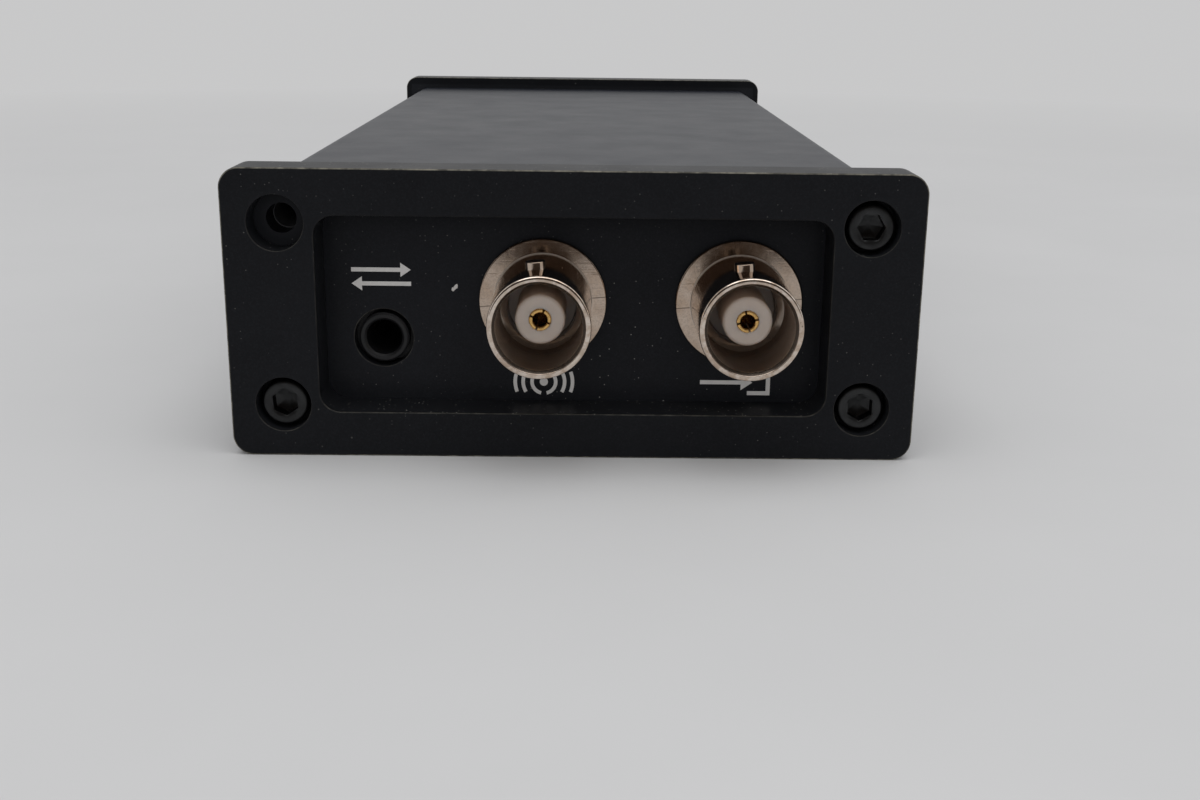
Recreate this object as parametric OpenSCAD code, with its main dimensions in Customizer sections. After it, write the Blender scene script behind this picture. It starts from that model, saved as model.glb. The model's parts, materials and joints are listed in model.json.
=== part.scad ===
// Automatic antenna tuner in a long flat box, built as separate pieces.
// Millimetres. Z is up, X is across, and the connector end faces minus Y.

/* [Enclosure] */
// Width of each end bezel
bezel_w = 67; // [66:0.5:80]
// Height of each end bezel
bezel_h = 28.3; // [27:0.1:34]
// Thickness of each end bezel
bezel_t = 5; // [4.6:0.1:7]
// Corner radius of each end bezel
bezel_corner_r = 2; // [1:0.1:3]
// Edge break round the outer face of each end bezel
bezel_edge = 0.2; // [0.1:0.05:0.5]
// Length of the extruded case between the two end panels
case_len = 135; // [133:1:170]
// Overhang of a bezel past the case at each side
overhang_x = 2.6; // [1.8:0.1:2.9]
// Overhang of a bezel past the case at top and bottom
overhang_z = 1.9; // [1.2:0.1:2.2]
// Wall thickness of the case
case_wall = 1.5; // [1.2:0.1:2]
// Outer corner radius of the case
case_corner_r = 1.5; // [0.8:0.1:2.5]
// Thickness of each end panel
panel_t = 1.5; // [1:0.1:2]

/* [Window] */
// Distance from a bezel's side edge to its window
window_side = 8.75; // [8.5:0.05:9.5]
// Distance from a bezel's top or bottom edge to its window
window_rim = 4.5; // [3.5:0.1:5.5]
// Corner radius of the window
window_corner_r = 2; // [1:0.1:3]

/* [Screws] */
// Distance from a bezel's side edge to the screw centres
screw_edge_x = 5.15; // [5:0.05:5.4]
// Distance from a bezel's top or bottom edge to the screw centres
screw_edge_z = 5.22; // [5:0.02:5.5]
// Thread diameter of the screws
thread_d = 2.8; // [2.6:0.05:2.9]
// Length of a screw under its head
screw_len = 9; // [8:0.5:14]
// Diameter of a screw head
head_d = 4.65; // [4.4:0.05:4.9]
// Height of a screw head
head_h = 2.5; // [2:0.1:2.8]
// Depth of a screw head below the bezel's face
head_recess = 0.7; // [0.2:0.1:1]
// Width across the flats of the key socket
key_af = 2.4; // [2:0.05:2.6]
// Diameter of a counterbore
counterbore_d = 5.4; // [5.2:0.1:5.8]
// Diameter of a screw's clearance hole
clearance_d = 2.95; // [2.9:0.05:3.2]
// Diameter of a screw channel's boss in the case
boss_d = 4.4; // [4:0.1:4.8]

/* [Coaxial jacks] */
// Distance between the two jacks, as a share of the window's width
jack_share = 0.394; // [0.37:0.002:0.41]
// Place of the radio jack to the right of the middle, as a share of the window's width
radio_share = 0.3311; // [0.31:0.0001:0.34]
// Height of the jacks above the middle of the bezel
jack_rise = 0.67; // [0:0.01:1.2]
// Outer diameter of a barrel
barrel_d = 9.65; // [9.5:0.05:9.7]
// Bore of a barrel
barrel_bore = 8.1; // [8:0.05:8.3]
// Length of a barrel ahead of its flange
barrel_len = 11.6; // [11:0.1:13]
// Depth of the barrel's wide bore
barrel_depth = 8.4; // [7.5:0.1:8.8]
// Diameter of a flange
flange_d = 12.65; // [11.8:0.05:13.2]
// Thickness of a flange
flange_t = 0.8; // [0.6:0.1:1.5]
// Diameter of a bayonet lug
lug_d = 1.9; // [1.7:0.1:2.1]
// Distance across the tips of the two lugs
lug_span = 11; // [10.8:0.1:11.2]
// Distance from the rim to the middle of the lugs
lug_setback = 4.2; // [3.8:0.1:5.2]
// Turn of the lugs away from upright, in degrees
lug_turn = -5; // [-20:1:20]
// Diameter of the insulator's nose
insulator_d = 4.7; // [4.4:0.1:5]
// Depth of the insulator's face behind the rim
insulator_recess = 3.6; // [3:0.1:4.4]
// Diameter of a contact
contact_d = 2.1; // [1.9:0.05:2.3]
// Bore of a contact
contact_bore = 1.35; // [1.2:0.05:1.5]
// Width of the slots in a contact
contact_slot = 0.2; // [0.15:0.05:0.3]
// Width across the flats of a jack nut
nut_af = 12.7; // [12:0.1:13.2]
// Thickness of a jack nut
nut_t = 2.2; // [1.8:0.1:2.4]

/* [Control jack] */
// Place of the control jack to the left of the middle, as a share of the window's width
control_share = 0.3848; // [0.37:0.0002:0.39]
// Height of the control jack's axis above the board
control_rise = 1.72; // [1.6:0.02:2.2]
// Diameter of the panel hole round the control jack
control_hole_d = 5.9; // [5.5:0.1:6.2]
// Diameter of the control jack's nose
nose_d = 5.05; // [4.8:0.05:5.2]
// Bore of the control jack
control_bore = 3.6; // [3.5:0.05:3.7]

/* [Board] */
// Thickness of the circuit board
board_t = 1.6; // [1.2:0.1:1.8]
// Length of a relay
relay_l = 10; // [9:0.1:10.4]
// Gap between the feet of neighbouring relays
relay_gap = 0.9; // [0.6:0.1:1.6]
// Height of a relay
relay_h = 5.2; // [4.5:0.1:6]
// Gap between neighbouring windings of the toroid cores
core_gap = 0.9; // [0.6:0.1:1.6]
// Hole of a toroid core as a share of its outer diameter
core_share = 0.52; // [0.48:0.01:0.56]
// Height of a toroid core
core_h = 4; // [3.5:0.1:4.5]
// Turns on a toroid core
core_turns = 10; // [6:1:11]
// Wire diameter of the windings
wire_d = 0.6; // [0.5:0.05:0.65]

/* [Tune button] */
// Diameter of the button cap
button_d = 6; // [5:0.1:7]
// Height of the button cap above the front panel
button_proud = 3.4; // [2.6:0.1:4]
// Travel of the button
button_travel = 1.2; // [0.8:0.1:1.3]
// Diameter of a status light as a share of the distance between two of them
light_share = 0.75; // [0.7:0.01:0.78]

/* [Battery] */
// Width of the battery
battery_w = 26.5; // [25:0.1:26.5]
// Height of the battery
battery_h = 17.5; // [16:0.1:17.6]
// Length of the battery without its terminals
battery_len = 46.4; // [44:0.1:46.6]

/* [Hidden] */
$fn = 64;

// Name of the piece to draw, or all of them

// Clearance between pieces that are held together
snug = 0.02;
// Clearance between pieces that slide
slide = 0.15;

// Lengths along Y
jack_proud = barrel_len + flange_t - bezel_t;
body_len = 2 * bezel_t + 2 * panel_t + case_len;
total_len = body_len + jack_proud;
rim_y = -total_len / 2;
rear_face_y = rim_y + jack_proud;
rear_panel_y = rear_face_y + bezel_t;
case_y0 = rear_panel_y + panel_t;
case_y1 = case_y0 + case_len;
front_face_y = case_y1 + panel_t + bezel_t;

// Case section
mid_z = bezel_h / 2;
case_w = bezel_w - 2 * overhang_x;
case_h = bezel_h - 2 * overhang_z;
inner_half = case_w / 2 - case_wall;
floor_z = overhang_z + case_wall;
ceiling_z = bezel_h - floor_z;
screw_x = bezel_w / 2 - screw_edge_x;
screw_dz = mid_z - screw_edge_z;
window_w = bezel_w - 2 * window_side;
window_h = bezel_h - 2 * window_rim;
counterbore_depth = head_recess + head_h;
shank_d = thread_d - 2 * snug;
channel_d = thread_d - 0.5;
tap_depth = screw_len + 3;

// Board in its slots
rib_t = 1.1;
rib_reach = 1.4;
slot_gap = 0.1;
board_z = screw_edge_z + boss_d / 2 + slot_gap;
board_top = board_z + board_t;
board_half = inner_half - 0.5;

// Places of the jacks
radio_x = radio_share * window_w;
antenna_x = radio_x - jack_share * window_w;
jack_z = mid_z + jack_rise;
control_x = -control_share * window_w;
control_z = board_top + control_rise;

// Lengths of a jack behind its rim
barrel_r = barrel_d / 2;
bore_r = barrel_bore / 2;
flange_r = flange_d / 2;
tail_step = 0.1;
tail_r = barrel_r - tail_step;
shoulder_w = 0.73;
shoulder_rise = 0.13;
throat_r = bore_r - shoulder_w;
mouth_edge = 0.26;
rim_edge = 0.24;
insulator_edge = 0.25;
collar_r = throat_r - snug;
rear_step = 0.3;
rear_r = insulator_d / 2 + rear_step;
washer_t = 0.6;
tail_proud = 0.8;
seat_len = 2.2;
collar_back = 1.9;
insulator_proud = 1.2;
cup_len = 3.6;
panel_s = barrel_len + flange_t;
tail_s = panel_s + panel_t + washer_t + nut_t + tail_proud;
seat_s = tail_s - seat_len;
collar_s = barrel_depth + collar_back;
insulator_end_s = tail_s + insulator_proud;
cup_end_s = insulator_end_s + cup_len;
contact_r = contact_d / 2;
contact_depth = 6;
cup_depth = 2;

// Control jack body
control_half = 3;
control_low = 2.5;
control_len = 12;
ear_half = 4.4;
ear_y = 2.2;
ear_len = 6.4;
ear_t = 0.9;
leaf_w = 1.2;
leaf_len = 3.8;
leaf_t = 0.3;
leaf_y = 4.1;
control_y0 = case_y0 + 0.2;
control_y1 = control_y0 + control_len;
leaf_out = control_bore / 2 + 0.25;
nose_edge = 0.2;

// Board outline
tongue_y = case_y0 + 0.8;
tongue_x = antenna_x - nut_af / sqrt(3) - 1.5;
main_y = rim_y + insulator_end_s + 0.9;
bay_room = 8.6;
bay_len = battery_len + bay_room;
bay_y = case_y1 - bay_len;
battery_gap = 0.3;
bay_gap = 1;
battery_x1 = screw_x - boss_d / 2 - battery_gap;
battery_x0 = battery_x1 - battery_w;
battery_x = battery_x1 - battery_w / 2;
bay_x = battery_x0 - bay_gap;
board_end_y = case_y1 - 0.5;
use_half = inner_half - rib_reach - 0.2;

// Rows of the parts between the jacks and the battery
field_gap_y0 = 1.6;
field_gap_y1 = 3;
field_y0 = control_y1 + field_gap_y0;
field_len = bay_y - field_gap_y1 - field_y0;
relay_rows = 7;
relay_pitch = field_len / relay_rows;
foot_out = 0.8;
foot_t = 0.35;
stand_off = 0.25;
relay_w = relay_pitch - relay_gap - 2 * foot_out;
lead_d = 1.2;
bend = 2;
pad_y = rim_y + cup_end_s + 2.6;

// Windings
wire_r = wire_d / 2;
wire_off = 1.6 * wire_r;
wire_reach = wire_off + wire_r;
wire_tail = 0.9;
coil_pitch = 0.0886 * field_len;
coil_gap = 1.1;
coil_wire_r = 0.35;
coil_r = (coil_pitch - coil_gap) / 2 - coil_wire_r;
coil_turns = 4;
coil_step = 1.25;
coil_rise = coil_r + coil_wire_r + 0.4;
core_pitch = (field_len - 4 * coil_pitch) / 3;
core_od = core_pitch - 2 * wire_reach - core_gap;
core_id = core_share * core_od;
core_rise = core_h / 2 + wire_reach + 0.05;
coupler_pitch = 0.18 * field_len;
small_od = coupler_pitch - 2 * wire_reach - core_gap;
small_id = 0.55 * small_od;
small_h = 3;
small_turns = 8;

// Sizes of the small parts
chip_foot = 1.3;
driver_w = 7.4;
driver_h = 2.4;
driver_l = 0.1835 * field_len;
capacitor_w = 3.2;
capacitor_l = relay_pitch / 2;
capacitor_h = 2;
can_d = 6.3;
can_h = 10.4;
can_top_d = 5.7;
can_top_h = 0.4;
crystal_w = 4.4;
crystal_h = 3.5;
crystal_r = 1.6;
regulator_l = 6.5;
regulator_w = 3.6;
regulator_h = 1.7;
micro_w = 7.5;
micro_h = 2.5;

// Columns of the parts between the jacks and the battery, with the same gap between them
core_col_w = core_od + 2 * wire_reach + wire_tail;
coupler_col_w = small_od + 2 * wire_reach + wire_tail;
side_col_w = max(coupler_col_w, driver_w + 2 * chip_foot);
column_gap = (2 * use_half - 2 * relay_l - capacitor_w - core_col_w - side_col_w) / 4;
relay_col_1 = -use_half + relay_l / 2;
capacitor_col = relay_col_1 + relay_l / 2 + column_gap + capacitor_w / 2;
relay_col_2 = capacitor_col + capacitor_w / 2 + column_gap + relay_l / 2;
inductor_col = relay_col_2 + relay_l / 2 + column_gap + core_od / 2 + wire_reach;
side_col = use_half - side_col_w / 2;
coupler_col = use_half - wire_tail - small_od / 2 - wire_reach;

// Controls at the front end
controls_x0 = 1.6 - window_w / 2;
controls_w = bay_x - controls_x0;
switch_half = 0.186 * controls_w;
button_x = controls_x0 + switch_half;
axis_z = board_top + 4.4;
switch_len = 9;
switch_h = 8;
switch_y1 = case_y1 - 0.6;
switch_y0 = switch_y1 - switch_len;
lip_t = 1;
chamber_len = 6.2;
chamber_d = 5;
collar_d = 4.4;
collar_t = 1;
stem_d = 3.2;
cap_y0 = case_y1 + button_travel - 0.2;
cap_y1 = case_y1 + panel_t + button_proud;
collar_y1 = switch_y1 - lip_t - 0.1;
spring_y1 = collar_y1 - collar_t;
spring_y0 = switch_y1 - lip_t - chamber_len;
spring_turns = 5;
spring_r = 1.6;
spring_wire_r = 0.2;
spring_run = spring_y1 - spring_y0 - 2 * spring_wire_r - 0.06;
light_pitch = 0.186 * controls_w;
light_x0 = button_x + switch_half + 0.035 * controls_w + light_pitch / 2;
holder_w = 0.95 * light_pitch;
light_d = light_share * light_pitch;
holder_len = 6;
holder_h = 6.4;

// Strip of parts beside the battery, between the relays and the switch
strip_len = switch_y0 - bay_y;
strip_col_1 = -use_half + 0.3 + micro_w / 2 + chip_foot;
strip_col_2 = bay_x - 1 - can_d / 2;
micro_l = 0.394 * strip_len;
strip_driver_l = 0.2555 * strip_len;
crystal_l = 0.2 * strip_len;

// Battery and its snap
battery_y1 = case_y1 - 0.6;
battery_y0 = battery_y1 - battery_len;
pad_t = 1;
battery_z = floor_z + pad_t;
battery_mid_z = battery_z + battery_h / 2;
terminal_h = 2.1;
terminal_dx = 0.24 * battery_w;
terminal_d_1 = 0.21 * battery_w;
terminal_d_2 = 0.3 * battery_w;
snap_t = 3.4;
snap_w = 0.966 * battery_w;
snap_h = 0.72 * battery_h;
snap_lead_dx = 0.15 * battery_w;
snap_y1 = battery_y0 - 0.1;
snap_y0 = snap_y1 - snap_t;
battery_pad_y = bay_y - 2.2;

// Signs of the four screw places, right and up are positive
front_places = [[1, 1], [-1, 1], [1, -1], [-1, -1]];
rear_places = [[1, 1], [1, -1], [-1, -1]];

// Functions for wound tubes
function unit(v) = v / norm(v);
function square_to(n, t) = unit(n - (n * t) * t);
function ring(p, t, n, r, k) = [for (i = [0:k - 1])
  p + r * (cos(360 * i / k) * n + sin(360 * i / k) * cross(t, n))];
function tangents(path) = [for (i = [0:len(path) - 1])
  unit(path[min(i + 1, len(path) - 1)] - path[max(i - 1, 0)])];
function least_gap(path, skip, r) = min([for (i = [0:len(path) - 1])
  for (j = [i + skip:1:len(path) - 1]) norm(path[i] - path[j])]) - 2 * r;

// Points of one turn round a core, outwards and upwards from the middle of its section
function turn_points(w, h, g) = [[w / 2 + g, -h / 2], [w / 2 + g, h / 2], [w / 2, h / 2 + g],
  [-w / 2, h / 2 + g], [-w / 2 - g, h / 2], [-w / 2 - g, -h / 2], [-w / 2, -h / 2 - g],
  [w / 2, -h / 2 - g]];
function core_steps(turns) = 8 * turns;
function core_angle(i, turns) = 20 + 320 * i / core_steps(turns);
function core_point(p, mid, a) = [(mid + p[0]) * cos(a), (mid + p[0]) * sin(a), p[1]];
function core_path(od, id, h, turns, g) = let (w = (od - id) / 2, mid = (od + id) / 4,
  base = turn_points(w, h, g), low = -h / 2 - g - wire_r)
  concat([core_point([w / 2 + g, low], mid, core_angle(0, turns))],
    [for (i = [0:core_steps(turns) - 1]) core_point(base[i % 8], mid, core_angle(i, turns))],
    [core_point([w / 2 + g + wire_tail, -h / 2 - g], mid, core_angle(core_steps(turns), turns))]);
function core_normals(od, id, h, turns, g) = let (mid = (od + id) / 4, path = core_path(od, id, h, turns, g))
  [for (q = path) let (flat = [q[0], q[1], 0], out = unit(flat)) unit(q - mid * out)];

// Points of a plain coil along X that starts and ends on the board
function coil_path(r, turns, step, low) = let (n = turns * 12 + 6)
  concat([[-turns * step / 2, -r, low]],
    [for (i = [0:n]) [-turns * step / 2 + step * i / 12, r * cos(180 - 30 * i), r * sin(180 - 30 * i)]],
    [[turns * step / 2 + step / 2, r, low]]);
function coil_normals(r, turns) = let (n = turns * 12 + 6)
  concat([[0, -1, 0]], [for (i = [0:n]) [0, cos(180 - 30 * i), sin(180 - 30 * i)]], [[0, 1, 0]]);

// Points of a compression spring along Y
function spring_path(r, turns, run) = [for (i = [0:turns * 12])
  [r * cos(30 * i), run * i / (turns * 12), r * sin(30 * i)]];
function spring_normals(turns) = [for (i = [0:turns * 12]) [cos(30 * i), 0, sin(30 * i)]];

winding_path = core_path(core_od, core_id, core_h, core_turns, wire_off);
small_path = core_path(small_od, small_id, small_h, small_turns, wire_off);
air_path = coil_path(coil_r, coil_turns, coil_step, -coil_rise + 0.05);
return_path = spring_path(spring_r, spring_turns, spring_run);
echo(winding_gap = least_gap(winding_path, 5, wire_r));
echo(coupler_gap = least_gap(small_path, 5, wire_r));
echo(air_coil_gap = least_gap(air_path, 8, coil_wire_r));
echo(spring_gap = least_gap(return_path, 8, spring_wire_r));

// Shapes used by several pieces

module tube(path, normals, r, k) {
  m = len(path);
  t = tangents(path);
  points = [for (i = [0:m - 1]) each ring(path[i], t[i], square_to(normals[i], t[i]), r, k)];
  sides = [for (i = [0:m - 2]) for (j = [0:k - 1])
    let (a = i * k + j, b = i * k + (j + 1) % k) each [[a, a + k, b], [b, a + k, b + k]]];
  start = [for (j = [1:k - 2]) [0, j, j + 1]];
  last = (m - 1) * k;
  finish = [for (j = [1:k - 2]) [last, last + j + 1, last + j]];
  polyhedron(points = points, faces = concat(sides, start, finish));
}

module extrude_y(y0, length) {
  translate([0, y0 + length, 0])
    rotate([90, 0, 0])
      linear_extrude(height = length)
        children();
}

module cylinder_y(x, y0, z, d, length) {
  translate([x, y0 + length, z])
    rotate([90, 0, 0])
      cylinder(d = d, h = length);
}

module turned_y(x, y0, z) {
  translate([x, y0, z])
    rotate([-90, 0, 0])
      rotate_extrude()
        children();
}

module rounded_rect(w, h, r) {
  square([w, h - 2 * r], center = true);
  square([w - 2 * r, h], center = true);
  for (sx = [-1, 1])
    for (sz = [-1, 1])
      translate([sx * (w / 2 - r), sz * (h / 2 - r)])
        circle(r = r);
}

module edged_plate(w, h, t, r, c) {
  translate([r - w / 2, 0, 0])
    rotate([90, 0, 90])
      linear_extrude(height = w - 2 * r)
        polygon([[0, c - h / 2], [0, h / 2 - c], [c, h / 2], [t, h / 2], [t, -h / 2], [c, -h / 2]]);
  translate([0, 0, r - h / 2])
    linear_extrude(height = h - 2 * r)
      polygon([[c - w / 2, 0], [w / 2 - c, 0], [w / 2, c], [w / 2, t], [-w / 2, t], [-w / 2, c]]);
  for (sx = [-1, 1])
    for (sz = [-1, 1])
      turned_y(sx * (w / 2 - r), 0, sz * (h / 2 - r))
        polygon([[0, 0], [r - c, 0], [r, c], [r, t], [0, t]]);
}

module at_screws(places) {
  for (p = places)
    translate([p[0] * screw_x, 0, mid_z + p[1] * screw_dz])
      children();
}

module case_outline() {
  rounded_rect(case_w, case_h, case_corner_r);
}

module case_section() {
  difference() {
    union() {
      difference() {
        case_outline();
        square([2 * inner_half, ceiling_z - floor_z], center = true);
      }
      intersection() {
        case_outline();
        for (p = front_places)
          translate([p[0] * screw_x, p[1] * screw_dz])
            circle(d = boss_d);
      }
      for (s = [-1, 1])
        for (z = [board_z - slot_gap - rib_t, board_top + slot_gap])
          translate([s * (inner_half - rib_reach / 2 + 0.1), z + rib_t / 2 - mid_z])
            square([rib_reach + 0.2, rib_t], center = true);
    }
    for (p = front_places)
      translate([p[0] * screw_x, p[1] * screw_dz])
        circle(d = channel_d);
  }
}

module end_bezel() {
  difference() {
    translate([0, 0, mid_z])
      edged_plate(bezel_w, bezel_h, bezel_t, bezel_corner_r, bezel_edge);
    translate([0, 0, mid_z])
      extrude_y(-1, bezel_t + 2)
        rounded_rect(window_w, window_h, window_corner_r);
    at_screws(front_places) {
      cylinder_y(0, -1, 0, counterbore_d, counterbore_depth + 1);
      cylinder_y(0, -1, 0, clearance_d, bezel_t + 2);
    }
  }
}

module panel_blank() {
  difference() {
    translate([0, 0, mid_z])
      extrude_y(0, panel_t)
        case_outline();
    at_screws(front_places)
      cylinder_y(0, -1, 0, clearance_d, panel_t + 2);
  }
}

module socket_screw() {
  head_r = head_d / 2;
  difference() {
    union() {
      turned_y(0, head_recess, 0)
        polygon([[0, 0], [head_r - 0.25, 0], [head_r, 0.25], [head_r, head_h], [0, head_h]]);
      cylinder_y(0, counterbore_depth - 0.5, 0, shank_d, screw_len + 0.5);
    }
    translate([0, head_recess - 0.5, 0])
      rotate([-90, 0, 0])
        cylinder(d = key_af * 2 / sqrt(3), h = 1.8, $fn = 6);
    turned_y(0, head_recess - 0.01, 0)
      polygon([[0, 0], [key_af * 0.6, 0], [key_af * 0.48, 0.16], [0, 0.16]]);
  }
}

module jack_shell(x) {
  turned_y(x, rim_y, jack_z)
    polygon([[bore_r + mouth_edge, 0], [barrel_r - rim_edge, 0], [barrel_r, rim_edge], [barrel_r, barrel_len],
      [flange_r - 0.15, barrel_len], [flange_r, barrel_len + 0.15], [flange_r, panel_s],
      [tail_r, panel_s], [tail_r, tail_s], [rear_r, tail_s], [rear_r, seat_s],
      [throat_r, seat_s], [throat_r, barrel_depth], [bore_r, barrel_depth - shoulder_rise],
      [bore_r, mouth_edge]]);
  for (a = [0, 180])
    translate([x, rim_y + lug_setback, jack_z])
      rotate([0, a + lug_turn, 0])
        translate([0, 0, barrel_r - 0.4])
          cylinder(d = lug_d, h = lug_span / 2 - barrel_r + 0.4);
}

module jack_insulator(x) {
  turned_y(x, rim_y, jack_z)
    polygon([[contact_r + snug, insulator_recess], [insulator_d / 2 - insulator_edge, insulator_recess],
      [insulator_d / 2, insulator_recess + insulator_edge], [insulator_d / 2, collar_s],
      [collar_r, collar_s], [collar_r, seat_s - snug], [rear_r - snug, seat_s - snug],
      [rear_r - snug, insulator_end_s], [contact_r + snug, insulator_end_s]]);
}

module jack_contact(x, turn) {
  difference() {
    turned_y(x, rim_y, jack_z)
      polygon([[contact_bore / 2 + 0.1, insulator_recess], [contact_r, insulator_recess],
        [contact_r, cup_end_s], [0, cup_end_s], [0, insulator_recess + contact_depth],
        [contact_bore / 2, insulator_recess + contact_depth], [contact_bore / 2, insulator_recess + 0.1]]);
    for (a = [turn, turn + 90])
      translate([x, rim_y + insulator_recess, jack_z])
        rotate([0, a, 0])
          translate([-contact_d, -1, -contact_slot / 2])
            cube([2 * contact_d, 5, contact_slot]);
    cylinder_y(x, rim_y + cup_end_s - cup_depth, jack_z, lead_d + 2 * snug, cup_depth + 1);
  }
}

module bent_lead(x, y0, y1, z0, z1) {
  cylinder_y(x, min(y0, y1 - bend), z0, lead_d, abs(y1 - y0) - bend);
  translate([x, y1 - bend, z0 - bend])
    rotate([90, 0, 90])
      rotate_extrude(angle = 90)
        translate([bend, 0])
          circle(d = lead_d);
  translate([x, y1, z1])
    cylinder(d = lead_d, h = z0 - bend - z1);
}

module toroid(od, id, h) {
  rotate_extrude()
    translate([id / 2, -h / 2])
      square([(od - id) / 2, h]);
}

module chip(l, w, h, count) {
  pitch = l / (count + 0.12);
  translate([-w / 2, -l / 2, stand_off])
    cube([w, l, h - stand_off]);
  for (i = [0:count - 1])
    translate([-w / 2 - chip_foot, (i - (count - 1) / 2) * pitch - pitch / 6, 0])
      cube([w + 2 * chip_foot, pitch / 3, foot_t]);
}

// Enclosure

module case_extrusion() {
  color([0.09, 0.09, 0.10])
    difference() {
      translate([0, 0, mid_z])
        extrude_y(case_y0, case_len)
          case_section();
      for (y = [case_y0 - 1, case_y1 - tap_depth])
        at_screws(front_places)
          cylinder_y(0, y, 0, thread_d, tap_depth + 1);
    }
}

module rear_bezel() {
  color([0.08, 0.08, 0.09])
    translate([0, rear_face_y, 0])
      end_bezel();
}

module rear_panel() {
  color([0.06, 0.06, 0.07])
    difference() {
      translate([0, rear_panel_y, 0])
        panel_blank();
      for (x = [antenna_x, radio_x])
        cylinder_y(x, rear_panel_y - 1, jack_z, 2 * tail_r + 0.1, panel_t + 2);
      cylinder_y(control_x, rear_panel_y - 1, control_z, control_hole_d, panel_t + 2);
    }
}

module rear_screws() {
  color([0.12, 0.12, 0.13])
    translate([0, rear_face_y, 0])
      at_screws(rear_places)
        socket_screw();
}

module front_bezel() {
  color([0.08, 0.08, 0.09])
    translate([0, front_face_y, 0])
      mirror([0, 1, 0])
        end_bezel();
}

module front_panel() {
  color([0.06, 0.06, 0.07])
    difference() {
      translate([0, case_y1, 0])
        panel_blank();
      cylinder_y(button_x, case_y1 - 1, axis_z, button_d + 0.6, panel_t + 2);
      for (i = [0:2])
        cylinder_y(light_x0 + i * light_pitch, case_y1 - 1, axis_z, light_d + 0.3, panel_t + 2);
    }
}

module front_screws() {
  color([0.12, 0.12, 0.13])
    translate([0, front_face_y, 0])
      mirror([0, 1, 0])
        at_screws(front_places)
          socket_screw();
}

// Coaxial jacks

module antenna_jack_shell() {
  color([0.72, 0.68, 0.62])
    jack_shell(antenna_x);
}

module antenna_jack_insulator() {
  color([0.94, 0.94, 0.92])
    jack_insulator(antenna_x);
}

module antenna_jack_contact() {
  color([0.85, 0.65, 0.25])
    jack_contact(antenna_x, 22);
}

module radio_jack_shell() {
  color([0.72, 0.68, 0.62])
    jack_shell(radio_x);
}

module radio_jack_insulator() {
  color([0.94, 0.94, 0.92])
    jack_insulator(radio_x);
}

module radio_jack_contact() {
  color([0.85, 0.65, 0.25])
    jack_contact(radio_x, 77);
}

module jack_lock_washers() {
  color([0.75, 0.75, 0.75])
    for (x = [antenna_x, radio_x])
      turned_y(x, case_y0, jack_z)
        translate([tail_r + 0.05, 0])
          square([nut_af / 2 - tail_r - 0.15, washer_t]);
}

module jack_nuts() {
  color([0.75, 0.73, 0.68])
    for (x = [antenna_x, radio_x])
      difference() {
        translate([x, case_y0 + washer_t, jack_z])
          rotate([-90, 0, 0])
            cylinder(d = nut_af * 2 / sqrt(3), h = nut_t, $fn = 6);
        cylinder_y(x, case_y0, jack_z, 2 * tail_r + 2 * snug, nut_t + 2);
      }
}

module jack_leads() {
  color([0.80, 0.80, 0.78])
    for (x = [antenna_x, radio_x])
      bent_lead(x, rim_y + cup_end_s - cup_depth + snug, pad_y, jack_z, board_top);
}

// Control jack

module control_jack_body() {
  color([0.05, 0.05, 0.05])
    difference() {
      union() {
        translate([control_x - control_half, control_y0, control_z - control_low])
          cube([2 * control_half, control_len, 2 * control_low]);
        turned_y(control_x, rear_panel_y + 0.1, control_z)
          polygon([[0, 0], [nose_d / 2 - nose_edge, 0], [nose_d / 2, nose_edge],
            [nose_d / 2, control_y0 - rear_panel_y], [0, control_y0 - rear_panel_y]]);
        translate([control_x - ear_half, control_y0 + ear_y, board_top])
          cube([2 * ear_half, ear_len, ear_t]);
      }
      cylinder_y(control_x, rear_panel_y - 1, control_z, control_bore, control_y1 - rear_panel_y);
      turned_y(control_x, rear_panel_y + 0.1, control_z)
        polygon([[0, -0.1], [control_bore / 2 + nose_edge + 0.1, -0.1], [control_bore / 2, nose_edge],
          [0, nose_edge]]);
      for (s = [-1, 1])
        translate([control_x + s * leaf_out - 0.55, control_y0 + leaf_y - 0.1, control_z - leaf_w / 2 - 0.1])
          cube([1.1, leaf_len + 0.2, leaf_w + 0.2]);
      translate([control_x - leaf_w / 2 - 0.1, control_y0 + leaf_y - 1.1, control_z + leaf_out - 0.55])
        cube([leaf_w + 0.2, control_len, 2]);
    }
}

module control_jack_contacts() {
  color([0.80, 0.76, 0.60])
    union() {
      for (s = [-1, 1])
        translate([control_x + s * leaf_out - leaf_t / 2, control_y0 + leaf_y, control_z - leaf_w / 2])
          cube([leaf_t, leaf_len, leaf_w]);
      translate([control_x - leaf_w / 2, control_y0 + leaf_y - 1, control_z + leaf_out - leaf_t / 2])
        cube([leaf_w, control_len - leaf_y + 1.7, leaf_t]);
      translate([control_x - leaf_w / 2, control_y1 + 0.7 - leaf_t, board_top])
        cube([leaf_w, leaf_t, control_z + leaf_out + leaf_t / 2 - board_top]);
    }
}

// Board and the parts on it

module main_board() {
  notch = control_half + 0.1;
  color([0.05, 0.30, 0.14])
    translate([0, 0, board_z])
      linear_extrude(height = board_t)
        polygon([[-board_half, tongue_y], [control_x - notch, tongue_y],
          [control_x - notch, control_y1 + 0.1], [control_x + notch, control_y1 + 0.1],
          [control_x + notch, tongue_y], [tongue_x, tongue_y],
          [tongue_x, main_y], [board_half, main_y], [board_half, bay_y], [bay_x, bay_y],
          [bay_x, board_end_y], [-board_half, board_end_y]]);
}

module relay() {
  foot_w = 0.05 * relay_l;
  translate([-relay_l / 2, -relay_w / 2, stand_off])
    cube([relay_l, relay_w, relay_h - stand_off]);
  for (i = [0:3])
    translate([(i - 1.5) * 0.22 * relay_l - foot_w / 2, -relay_w / 2 - foot_out, 0])
      cube([foot_w, relay_w + 2 * foot_out, foot_t]);
}

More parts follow.
